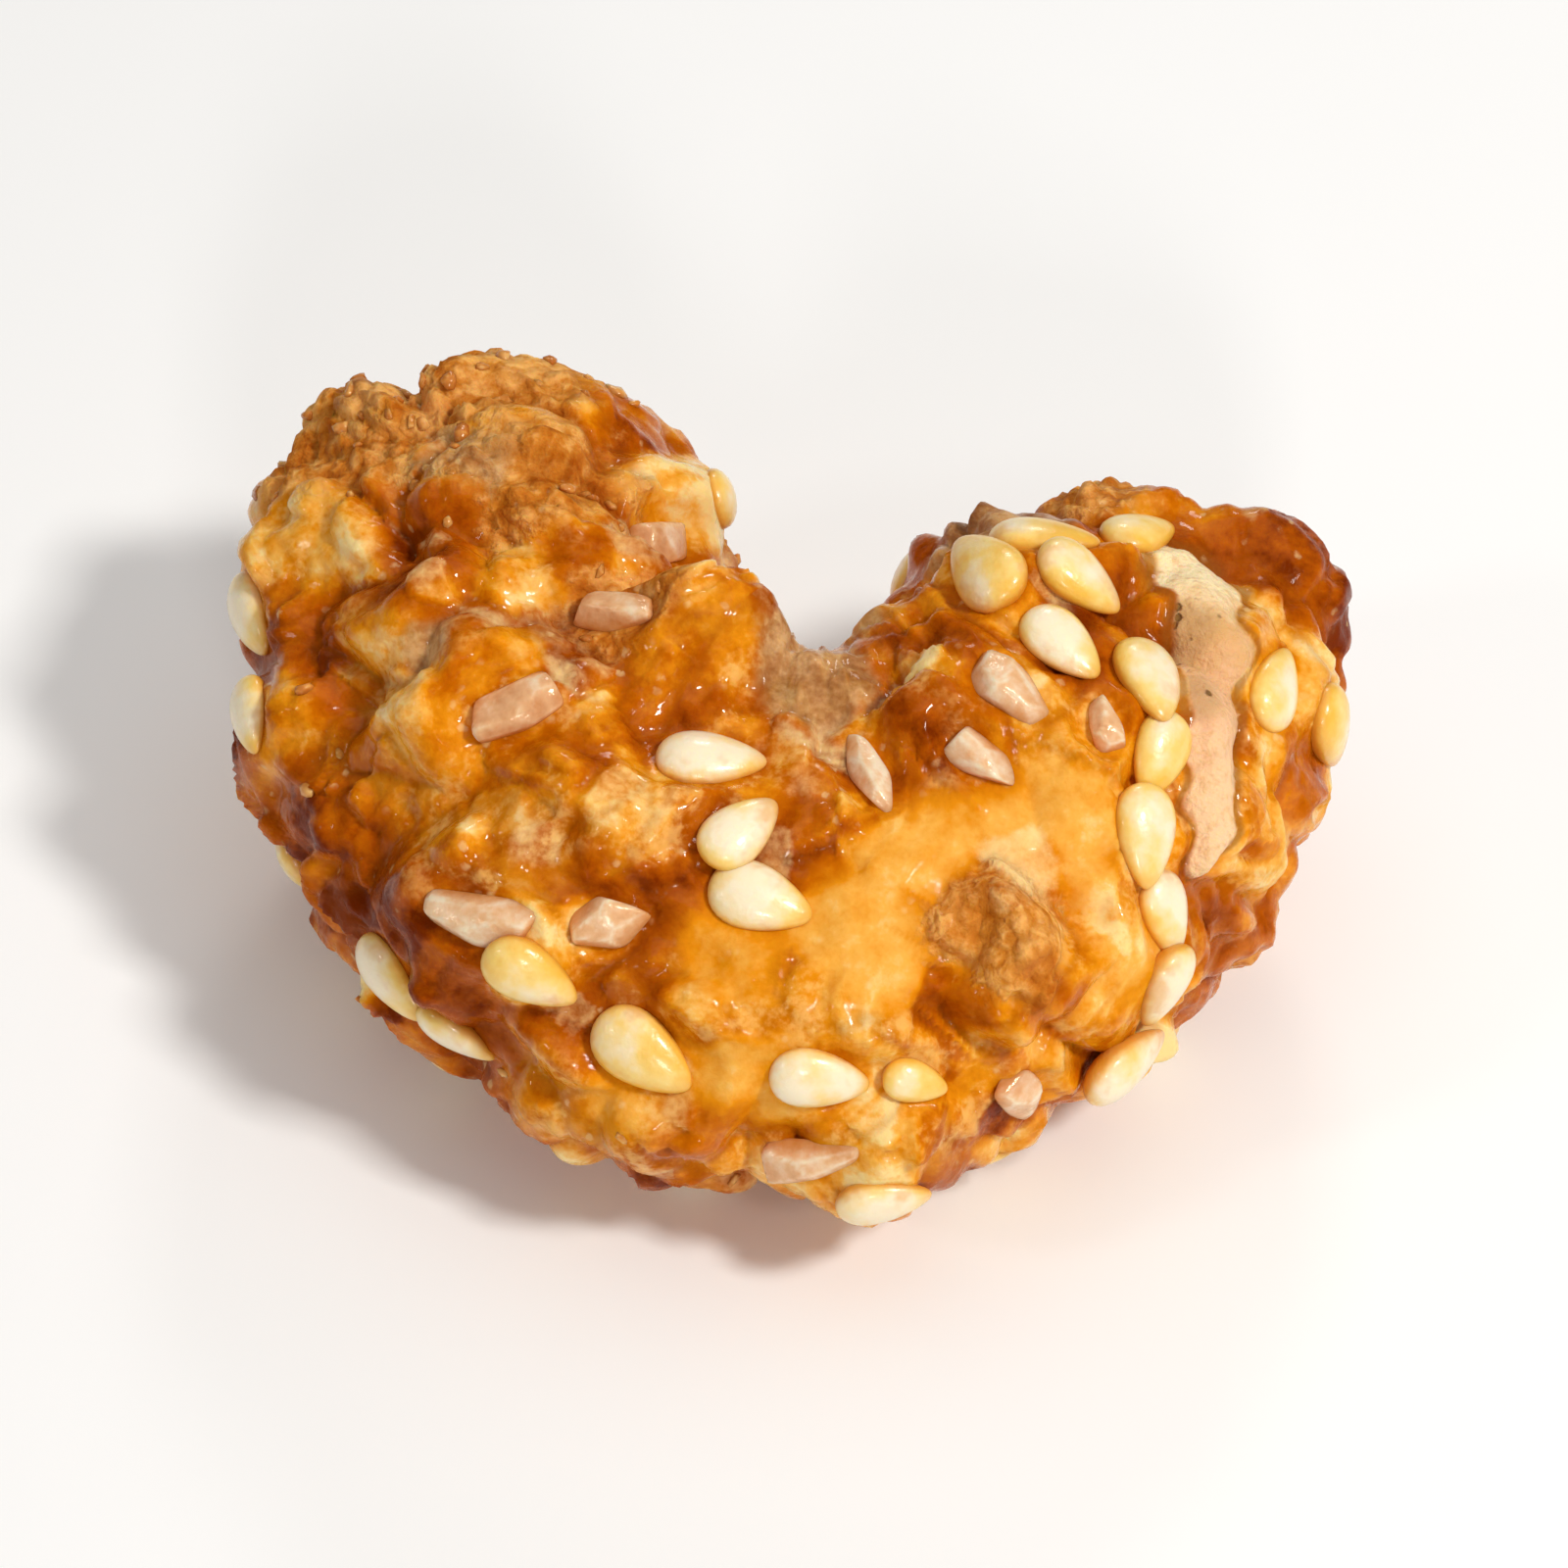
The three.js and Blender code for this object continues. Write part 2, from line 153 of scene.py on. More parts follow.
class Nearby:
    """Points sorted by their first coordinate, so that those in reach of a place are found fast."""

    def __init__(self, points: Array) -> None:
        """Sorts the points."""
        self.order = np.argsort(points[:, 0])
        self.points = points[self.order]

    def of(self, centre: Array, reach: float) -> tuple[Array, Array]:
        """Numbers of the points whose first coordinate is in reach, and their offsets.

        Args:
            centre: The place.
            reach: How far from it the points may be.

        Returns:
            The points' numbers, and their offsets from the place.
        """
        ends = [centre[0] - reach, centre[0] + reach]
        low, high = np.searchsorted(self.points[:, 0], ends)
        return self.order[low:high], self.points[low:high] - centre


def out_of(surface: Surface, along: Array, around: Array, reach: float) -> Array:
    """Direction out of a surface: the cross product of its slopes along and around.

    Args:
        surface: Function of along and around that gives points.
        along: Places along the nut.
        around: Places around its section.
        reach: Half the step over which the slopes are taken.

    Returns:
        One unit vector for each place.
    """
    low = np.maximum(TIP_MARGIN, along - reach)
    high = np.minimum(1 - TIP_MARGIN, along + reach)
    along_way = surface(high, around) - surface(low, around)
    middle = (low + high) / 2
    around_way = surface(middle, around + reach) - surface(middle, around - reach)
    return unit(np.cross(along_way, around_way))


@dataclass(frozen=True)
class Section:
    """Egg-shaped section: half widths out of the crescent and into its hollow, and half height."""

    outer: float
    inner: float
    half_height: float


@dataclass(frozen=True)
class Lobe(Section):
    """Section at a lobe's tip before it closes, and how the lobe bends, reaches and closes."""

    roundness: float
    bend: float
    reach: float


@dataclass(frozen=True)
class Crescent:
    """Bare skin of the nut: a section carried along the crescent's centre line, in millimetres.

    A place on it is two numbers from 0 to 1: along, from the left lobe's tip to the right lobe's
    tip, and around, a full turn that starts at the convex back and rises over the top.
    """

    bend_radius: float = 7.6
    back: Section = Section(6.8, 6.7, 5.7)
    left: Lobe = Lobe(6.9, 5.5, 7.0, roundness=3.4, bend=81.0, reach=8.0)
    right: Lobe = Lobe(7.2, 7.3, 6.5, roundness=3.0, bend=73.0, reach=5.8)
    lobe_swell: float = 1.4
    flank_along: float = 0.77
    flank_reach: float = 0.2
    flank_slimming: float = 0.17
    flat_depth: float = 0.35
    bend_centre: tuple[float, float] = (0.91, 4.13)
    walk_steps: int = 600

    def centre_line(self, along: Array) -> Triple:
        """Circular arc with a straight stretch at each end.

        Args:
            along: Places along the nut.

        Returns:
            The line's points, and its outward and forward directions there.
        """
        start, end = math.radians(-self.left.bend), math.radians(self.right.bend)
        bend = (end - start) * self.bend_radius
        walked = along * (self.left.reach + bend + self.right.reach) - self.left.reach
        on_bend = np.clip(walked, 0.0, bend)
        angle = start + on_bend / self.bend_radius
        flat = np.zeros_like(angle)
        outward = np.stack([np.sin(angle), -np.cos(angle), flat], axis=-1)
        forward = np.stack([np.cos(angle), np.sin(angle), flat], axis=-1)
        point = outward * self.bend_radius + forward * (walked - on_bend)[..., None]
        return point, outward, forward

    def skin(self, along: Array, around: Array) -> Array:
        """Points of the bare skin: the centre line plus the section's half widths and height.

        Args:
            along: Places along the nut.
            around: Places around its section, of the same shape.

        Returns:
            One point for each place.
        """
        point, outward, _ = self.centre_line(along)
        from_middle = np.abs(2 * along - 1)
        is_left = along < 0.5
        roundness = np.where(is_left, self.left.roundness, self.right.roundness)
        closing = np.maximum(0.0, 1 - from_middle**roundness) ** (1 / roundness)
        swell = from_middle**self.lobe_swell
        outer, inner, half_height = (
            mix(
                getattr(self.back, name),
                np.where(is_left, getattr(self.left, name), getattr(self.right, name)),
                swell,
            )
            for name in ("outer", "inner", "half_height")
        )
        flank = self.flank_slimming * dome(along - self.flank_along, self.flank_reach)
        wide, high = np.cos(around * TURN), np.sin(around * TURN)
        half_width = np.where(wide > 0, outer * (1 - flank), inner)
        height = half_height * (1 + closing * high) - self.flat_depth
        sideways = outward * (half_width * closing * wide)[..., None]
        return point + sideways + height[..., None] * np.array([0.0, 0.0, 1.0])

    def skin_at(self, at: Place) -> Array:
        """Point of the bare skin at one place, as a row."""
        return self.skin(*np.array([at]).T)

    def skin_normal(self, along: Array, around: Array) -> Array:
        """Direction out of the bare skin, and straight out of the nut at its two tips.

        Args:
            along: Places along the nut.
            around: Places around its section.

        Returns:
            One unit vector for each place.
        """
        normal = out_of(self.skin, along, around, TIP_MARGIN)
        _, _, forward = self.centre_line(along)
        normal = np.where((along <= 0)[..., None], -forward, normal)
        return np.where((along >= 1)[..., None], forward, normal)

    def even_along(self, part: Array) -> Array:
        """Place along the nut at each share of a walk over the convex back, from tip to tip.

        Args:
            part: Shares of the walk, from 0 to 1.

        Returns:
            Places along the nut.
        """
        steps = np.arange(self.walk_steps + 1) / self.walk_steps
        back = self.skin(steps, np.zeros_like(steps))
        walked = np.concatenate([[0.0], np.cumsum(length(np.diff(back, axis=0)))])
        return np.interp(np.asarray(part) * walked[-1], walked, steps)

    def spread(self, count: int, first: Place) -> tuple[Array, Array]:
        """Places spread evenly over the skin: the first, and then steps of A along and B around.

        Args:
            count: Number of places.
            first: The first one, with its along as a share of the walk over the back.

        Returns:
            Places along and around.
        """
        i = np.arange(count)
        return self.even_along(share(first[0] + i * STEP_A)), share(first[1] + i * STEP_B)

    def to_frame(self, points: Array) -> Array:
        """Carries points from the bend's own frame, in millimetres, to the shared frame in metres."""
        return (points + np.array([*self.bend_centre, 0.0])) * MM


@dataclass(frozen=True)
class Lump:
    """Large swelling of the coat: its place on the skin, and its radius and height."""

    name: str
    at: Place
    radius: float
    height: float


LARGE_LUMPS = (
    Lump("crown of the left lobe", (0.12, 0.27), 4.2, 0.9),
    Lump("outer corner of the left lobe", (0.07, 0.1), 3.9, 1.4),
    Lump("outer side of the left lobe", (0.22, 0.06), 3.4, 0.8),
    Lump("nub by the hollow", (0.38, 0.33), 2.6, 1.7),
    Lump("ridge across the left lobe", (0.29, 0.2), 2.9, 1.1),
    Lump("left flank", (0.4, 0.12), 3.2, 1.0),
    Lump("glassy drop under the back", (0.58, 0.96), 2.8, 1.5),
    Lump("left of the drop", (0.46, 0.97), 3.0, 0.9),
    Lump("brown nub on the back", (0.63, 0.09), 1.8, 1.2),
    Lump("crown of the right lobe", (0.85, 0.3), 3.4, 1.0),
    Lump("wall of the hollow", (0.76, 0.42), 2.6, 1.0),
    Lump("lump before the right lobe", (0.7, 0.27), 2.4, 1.0),
    Lump("tip of the right lobe", (0.94, 0.1), 2.8, 1.1),
    Lump("foot of the left lobe", (0.14, 0.8), 3.4, 0.9),
    Lump("far side of the left lobe", (0.08, 0.45), 3.0, 0.9),
    Lump("far side of the right lobe", (0.93, 0.5), 2.8, 0.9),
)


@dataclass(frozen=True)
class Relief:
    """Lumps that the caramel has set in, over the bare skin."""

    crescent: Crescent = Crescent()
    large: tuple[Lump, ...] = LARGE_LUMPS
    small_count: int = 300
    small_first: Place = (0.11, 0.37)
    small_radius: Span = (0.95, 2.5)
    small_bias: float = 1.4
    small_sharpness: float = 0.42
    small_blend: float = 4.0
    bare_at: Place = (0.6, 0.14)
    bare_radius: float = 6.0
    warp_reach: float = 0.5
    warp_pitch: float = 3.9
    hollow_clearance: float = 1.2
    hollow_fade: float = 3.2
    underside: float = 0.4

    def warped(self, points: Array) -> Array:
        """Points shifted by a slow sine of their other coordinates, which bends lumps' outlines.

        Args:
            points: Points of the bare skin.

        Returns:
            The shifted points.
        """
        k = TURN / self.warp_pitch
        x, y, z = points[..., 0], points[..., 1], points[..., 2]
        waves = [k * (y + 0.7 * z), k * (z + 0.7 * x) + 2, k * (x + 0.7 * y) + 4]
        return points + self.warp_reach * np.sin(np.stack(waves, axis=-1))

    def spot(self, at: Place) -> Array:
        """Warped point of the skin at one place."""
        return self.warped(self.crescent.skin_at(at))

    def small_lumps(self) -> Triple:
        """Small lumps, spread evenly over the skin and lower on the bare middle of the top.

        Returns:
            Their warped centres, radii and heights.
        """
        centres = self.warped(self.crescent.skin(*self.crescent.spread(self.small_count, self.small_first)))
        radii = mix(*self.small_radius, share(np.arange(self.small_count) * STEP_C) ** self.small_bias)
        bare = dome(length(centres - self.spot(self.bare_at)), self.bare_radius)
        return centres, radii, radii * self.small_sharpness * (1 - bare)

    def fade(self, skin: Array, around: Array) -> Array:
        """Share of the relief that is left: none by the bend's centre, less where coat pooled.

        Args:
            skin: Points of the bare skin.
            around: Their places around the section.

        Returns:
            One share for each point.
        """
        from_hollow = np.hypot(skin[..., 0], skin[..., 1]) - self.hollow_clearance
        below = np.clip(-np.sin(around * TURN), 0.0, 1.0)
        return np.clip(from_hollow / self.hollow_fade, 0.0, 1.0) * mix(1.0, self.underside, below)

    def height(self, skin: Array, around: Array) -> Array:
        """Relief height: the highest large dome plus a power sum of the small domes, faded.

        Args:
            skin: Points of the bare skin.
            around: Their places around the section.

        Returns:
            One height for each point.
        """
        bent = self.warped(skin)
        large = np.zeros(skin.shape[:-1])
        for lump in self.large:
            reach = length(bent - self.spot(lump.at))
            large = np.maximum(large, lump.height * dome(reach, lump.radius))
        small = np.zeros_like(large)
        for centre, radius, height in zip(*self.small_lumps()):
            small += (height * dome(length(bent - centre), radius)) ** self.small_blend
        return (large + small ** (1 / self.small_blend)) * self.fade(skin, around)

    def coat(self, along: Array, around: Array) -> Array:
        """Points of the coat: the bare skin raised by the relief along its normal.

        Args:
            along: Places along the nut.
            around: Places around its section.

        Returns:
            One point for each place.
        """
        skin = self.crescent.skin(along, around)
        normal = self.crescent.skin_normal(along, around)
        return skin + normal * self.height(skin, around)[..., None]


class Look(Enum):
    """What the caramel looks like in one patch."""

    # Golden caramel; on the bottom band of the back it is also lightened as painted light.
    GLOW = "glassy and golden"
    # Red-brown caramel; low on the left flank and under the brown nub this look also paints shade.
    RED_BROWN_AND_PAINTED_SHADE = "glassy and red-brown"
    AMBER = "glassy and dark amber"
    BARE = "smooth, light orange"
    DUSTY = "matt with fine brown sugar"
    PALE = "cream, where the coat is thin"
    FROST = "grey-beige and cloudy"
    GRAINY = "a clump of brown grains"
    PITTED = "specked with dark pits, on the pale streak"


@dataclass(frozen=True)
class Patch:
    """Spot on the coat with a look of its own: its place on the skin, its radius and strength."""

    at: Place
    radius: float
    strength: float = 1.0


PATCHES = {
    Look.DUSTY: (
        Patch((0.05, 0.15), 3.4), Patch((0.05, 0.24), 3.2), Patch((0.17, 0.25), 2.6),
        Patch((0.17, 0.31), 1.8, 0.6), Patch((0.31, 0.29), 1.7), Patch((0.96, 0.3), 1.6, 0.8),
        Patch((0.1, 0.5), 3.0, 0.9), Patch((0.92, 0.55), 2.6, 0.9), Patch((0.35, 0.72), 2.2, 0.8),
        Patch((0.72, 0.82), 2.0, 0.7),
    ),
    Look.GRAINY: (Patch((0.08, 0.2), 3.6, 0.6), Patch((0.63, 0.115), 2.0)),
    Look.FROST: (
        Patch((0.89, 0.34), 2.2, 0.9), Patch((0.54, 0.32), 2.2), Patch((0.68, 0.38), 1.4, 0.8),
        Patch((0.29, 0.18), 0.9, 0.8), Patch((0.15, 0.22), 1.8, 0.7), Patch((0.31, 0.25), 1.2, 0.5),
    ),
    Look.AMBER: (
        Patch((0.195, 0.195), 1.7), Patch((0.22, 0.09), 2.0, 0.8), Patch((0.237, 0.19), 1.5),
        Patch((0.82, 0.045), 1.7, 0.65),
    ),
    # Those at along 0.22 to 0.39 low on the left flank are partly red-brown caramel, partly painted shade;
    # the three by the brown nub paint the shadow under it.
    Look.RED_BROWN_AND_PAINTED_SHADE: (
        Patch((0.94, 0.11), 2.0, 0.8), Patch((0.93, 0.18), 1.3, 0.7), Patch((0.83, 0.22), 1.3),
        Patch((0.77, 0.24), 1.5, 0.7), Patch((0.71, 0.32), 1.7, 0.6), Patch((0.31, 0.03), 2.8),
        Patch((0.39, 0.03), 2.4), Patch((0.22, 0.03), 2.6), Patch((0.35, 0.05), 2.1),
        Patch((0.28, 0.975), 2.4), Patch((0.38, 0.965), 2.4), Patch((0.5, 0.01), 1.2, 0.7),
        Patch((0.39, 0.29), 2.0, 0.5), Patch((0.54, 0.2), 1.2, 0.4), Patch((0.615, 0.99), 0.9, 0.7),
        Patch((0.634, 0.09), 0.85, 0.6), Patch((0.637, 0.066), 1.2, 0.8),
        Patch((0.605, 0.088), 0.9, 0.6),
    ),
    # The three at along 0.46 to 0.58 near around 0 lighten the bottom band: golden caramel, and in part
    # painted light where it catches the light.
    Look.GLOW: (
        Patch((0.18, 0.1), 1.7), Patch((0.31, 0.14), 1.9), Patch((0.35, 0.13), 2.0),
        Patch((0.4, 0.15), 1.9), Patch((0.35, 0.2), 1.5, 0.7), Patch((0.335, 0.15), 1.7, 0.9),
        Patch((0.42, 0.29), 1.6, 0.7), Patch((0.46, 0.0), 1.9), Patch((0.52, 0.0), 1.8),
        Patch((0.58, 0.02), 1.9),
    ),
    Look.PALE: (
        Patch((0.49, 0.03), 1.3, 0.7), Patch((0.65, 0.15), 1.4, 0.75), Patch((0.185, 0.15), 1.1),
        Patch((0.28, 0.16), 1.0, 0.8), Patch((0.3, 0.21), 1.2, 0.7), Patch((0.23, 0.32), 1.3),
        Patch((0.16, 0.44), 1.2), Patch((0.52, 0.25), 1.7, 0.8), Patch((0.36, 0.22), 1.3, 0.7),
        Patch((0.41, 0.15), 0.8, 0.7), Patch((0.56, 0.27), 1.3, 0.7),
        Patch((0.635, 0.14), 0.9, 0.9), Patch((0.622, 0.118), 0.7, 0.6),
    ),
    Look.BARE: (
        Patch((0.57, 0.14), 2.3), Patch((0.61, 0.16), 2.6), Patch((0.67, 0.16), 2.4),
        Patch((0.51, 0.13), 1.7, 0.8), Patch((0.52, 0.05), 1.8, 0.8), Patch((0.47, 0.02), 1.0, 0.7),
        Patch((0.69, 0.05), 1.6, 0.7), Patch((0.78, 0.03), 1.6, 0.5),
    ),
    Look.PITTED: (Patch((0.825, 0.195), 1.0), Patch((0.79, 0.165), 0.85, 0.9)),
}

# Tone that a look brings, and how far it takes over, in the order in which they are laid on.
LOOK_TONES = {
    Look.GLOW: (0.79, 0.7),
    Look.AMBER: (0.2, 1.0),
    Look.BARE: (0.82, 1.0),
    Look.GRAINY: (0.85, 0.8),
    Look.RED_BROWN_AND_PAINTED_SHADE: (0.12, 0.85),
}


@dataclass(frozen=True)
class PaleStreak:
    """Strip of bare kernel down the right flank, through a crack in the coat."""

    run: tuple[Place, ...] = ((0.9, 0.2), (0.85, 0.18), (0.81, 0.16), (0.77, 0.13), (0.735, 0.08))
    half_widths: tuple[float, ...] = (1.15, 0.9, 0.82, 0.72, 0.35)
    samples: int = 40
    edge: Span = (0.68, 1.15)
    ridge: float = 0.22
    crack: float = 0.12
    crack_at: float = 1.05
    crack_width: float = 0.2
    raggedness: Swell = Swell(0.2, 1.1, 51)

    def amount(self, crescent: Crescent, skin: Array) -> Triple:
        """How much of the streak shows: 1 by the run, and 0 a little past its half width.

        The run is sampled on the skin, and is as wide as its half widths say, with straight
        blends between them. Its reach is uneven by a swell. It stands up in the middle by a
        parabola, and at its edge is a crack, a bell curve.

        Args:
            crescent: The nut's bare skin.
            skin: Points of that skin.

        Returns:
            The amount at each point, how far down the run the point is, from 0 to 1, and the
            height that the streak and its crack add.
        """
        parts = np.linspace(0.0, 1.0, self.samples)
        knots = np.linspace(0.0, 1.0, len(self.run))
        along, around = (np.interp(parts, knots, line) for line in zip(*self.run))
        middle = crescent.skin(along, around)
        widths = np.interp(parts, knots, self.half_widths)
        nearest = np.full(skin.shape[:-1], FAR)
        run = np.zeros(skin.shape[:-1])
        for part, point, width in zip(parts, middle, widths):
            reach = length(skin - point) / width
            run = np.where(reach < nearest, part, run)
            nearest = np.minimum(nearest, reach)
        nearest *= 1 + self.raggedness.over(skin)
        height = self.ridge * np.maximum(0.0, 1 - nearest**2)
        height -= self.crack * np.exp(-(((nearest - self.crack_at) / self.crack_width) ** 2))
        return 1 - smooth(*self.edge, nearest), run, height


@dataclass(frozen=True)
class CoatMasks:
    """Numbers over the coat that its shape and finish read, one for each point.

    The ridge is a height in millimetres, and the others are amounts from 0 to 1.
    """

    tone: Array
    crease: Array
    dust: Array
    pale: Array
    frost: Array
    streak: Array
    run: Array
    ridge: Array
    grain: Array
    bare: Array
    pits: Array


@dataclass(frozen=True)
class Crumb:
    """Broken sugar under the glaze: cells with flat, tilted tops, each with a shade of its own."""

    count: int = 1250
    first: Place = (0.77, 0.41)
    size: Span = (0.7, 1.7)
    size_bias: float = 1.6
    reach: float = 1.8
    scatter: float = 0.2
    lift: Span = (-0.12, 0.2)
    tilt: float = 0.3
    most: float = 0.3
    border: Span = (0.02, 0.22)
    shade: Span = (-0.28, 0.24)
    pale_share: float = 0.06
    glaze: Swell = Swell(1.0, 3.6, 41)
    thin_glaze: Span = (-0.5, 0.5)
    least: float = 0.3
    seed: int = 7

    def cover(self, relief: Relief, skin: Array) -> Triple:
        """Height, shade and paleness that the cells add.

        Each point belongs to the cell whose middle is nearest, in cell sizes. The cell's height
        there is its lift plus its slope times the offset, within limits. It runs out at the cell's
        border, where the next cell is as near, and is least where the glaze is thick.

        Args:
            relief: The coat's relief, which warps the places.
            skin: Points of the bare skin.

        Returns:
            Height at each point, the shift in tone there, and how pale the cell is.
        """
        random = np.random.default_rng(self.seed)
        crescent = relief.crescent
        along, around = crescent.spread(self.count, self.first)
        out = crescent.skin_normal(along, around)
        centres = relief.warped(crescent.skin(along, around))
        centres += random.normal(0.0, self.scatter, centres.shape)
        slopes = random.normal(0.0, self.tilt, centres.shape)
        slopes -= out * (slopes * out).sum(axis=1, keepdims=True)
        sizes = mix(*self.size, random.random(self.count) ** self.size_bias)
        lifts = random.uniform(*self.lift, self.count)
        shades = random.uniform(*self.shade, self.count)
        pales = random.random(self.count) < self.pale_share
        bent = relief.warped(skin)
        nearby = Nearby(bent)
        first, second = np.full((2, len(skin)), FAR)
        owner = np.zeros(len(skin), dtype=int)
        for number, (centre, size) in enumerate(zip(centres, sizes)):
            near, offset = nearby.of(centre, self.reach * size)
            reach = length(offset) / size
            closer = reach < first[near]
            second[near] = np.where(closer, first[near], np.minimum(second[near], reach))
            owner[near[closer]] = number
            first[near] = np.minimum(first[near], reach)
        full = smooth(*self.border, second - first)
        full *= mix(self.least, 1.0, smooth(*self.thin_glaze, self.glaze.over(skin)))
        height = lifts[owner] + ((bent - centres[owner]) * slopes[owner]).sum(axis=1)
        height = self.most * np.tanh(height / self.most)
        return full * height, full * shades[owner], full * pales[owner]


CRUST = Crumb(
    count=2600,
    size=(0.55, 1.0),
    scatter=0.16,
    lift=(0.16, 0.66),
    tilt=0.25,
    most=0.6,
    border=(0.0, 0.55),
    shade=(-0.5, 0.5),
    pale_share=0.14,
    glaze=Swell(1.0, 6.0, 41),
    seed=8,
)


@dataclass(frozen=True)
class Chips:
    """Angular chips of sugar under the glaze, each a low box with rounded edges."""

    count: int = 240
    first: Place = (0.31, 0.19)
    size: Span = (0.45, 1.15)
    size_bias: float = 1.6
    thickness: float = 1.2
    reach: float = 1.3
    height: Span = (0.12, 0.36)
    shade: Span = (-0.25, 0.3)
    pale_share: float = 0.12
    tilt: float = 0.25
    squareness: int = 6
    edge: Span = (0.78, 1.08)
    seed: int = 12

    def cover(self, relief: Relief, skin: Array) -> Triple:
        """Height, shade and paleness that the chips add.

        A point's place in a chip's own axes, as shares of its half sizes, gives a reach by the
        sixth-power mean. The chip is full up to the start of its edge and gone at the end of it.

        Args:
            relief: The coat's relief, for its bare skin.
            skin: Points of the bare skin.

        Returns:
            Height at each point, the shift in tone there, and how pale the chip is.
        """
        random = np.random.default_rng(self.seed)
        along, around = relief.crescent.spread(self.count, self.first)
        centres = relief.crescent.skin(along, around)
        out = relief.crescent.skin_normal(along, around)
        side = unit(np.cross(out, random.normal(size=out.shape)))
        ahead = unit(np.cross(side, out) + self.tilt * random.normal(size=out.shape))
        sizes = mix(*self.size, random.random((self.count, 2)) ** self.size_bias)
        heights = mix(*self.height, random.random(self.count))
        shades = random.uniform(*self.shade, self.count)
        pales = random.random(self.count) < self.pale_share
        nearby = Nearby(skin)
        height, shade, pale = np.zeros((3, len(skin)))
        chips = zip(centres, ahead, side, sizes, heights, shades, pales)
        for centre, long, wide, size, rise, own_shade, is_pale in chips:
            near, offset = nearby.of(centre, self.reach * size.max())
            axes = np.stack([long / size[0], wide / size[1], np.cross(long, wide) / self.thickness])
            reach = (np.abs(offset @ axes.T) ** self.squareness).sum(axis=-1) ** (1 / self.squareness)
            amount = 1 - smooth(*self.edge, reach)
            taller = amount * rise > height[near]
            shade[near] = np.where(taller, amount * own_shade, shade[near])
            pale[near] = np.where(taller, amount * is_pale, pale[near])
            height[near] = np.maximum(height[near], amount * rise)
        return height, shade, pale


@dataclass(frozen=True)
class FineLumps:
    """Many small domes on the coat, of which the highest shows at each point."""

    count: int = 2600
    first: Place = (0.53, 0.19)
    radius: Span = (0.3, 1.0)
    radius_bias: float = 1.8
    sharpness: float = 0.4

    def height(self, relief: Relief, skin: Array) -> Array:
        """Highest dome at each point, by distances between warped places.

        Args:
            relief: The coat's relief, which warps the places.
            skin: Points of the bare skin.

        Returns:
            One height for each point.
        """
        crescent = relief.crescent
        centres = relief.warped(crescent.skin(*crescent.spread(self.count, self.first)))
        radii = mix(*self.radius, share(np.arange(self.count) * STEP_C) ** self.radius_bias)
        nearby = Nearby(relief.warped(skin))
        height = np.zeros(len(skin))
        for centre, radius in zip(centres, radii):
            near, offset = nearby.of(centre, radius)
            height[near] = np.maximum(height[near], radius * dome(length(offset), radius))
        return self.sharpness * height


@dataclass(frozen=True)
class CoatSurface:
    """Finished coat, in the bend's frame: its points, ways out, areas, and numbers for its looks."""

    points: Array
    ways: Array
    areas: Array
    masks: CoatMasks
    looks: Mapping[str, Array]


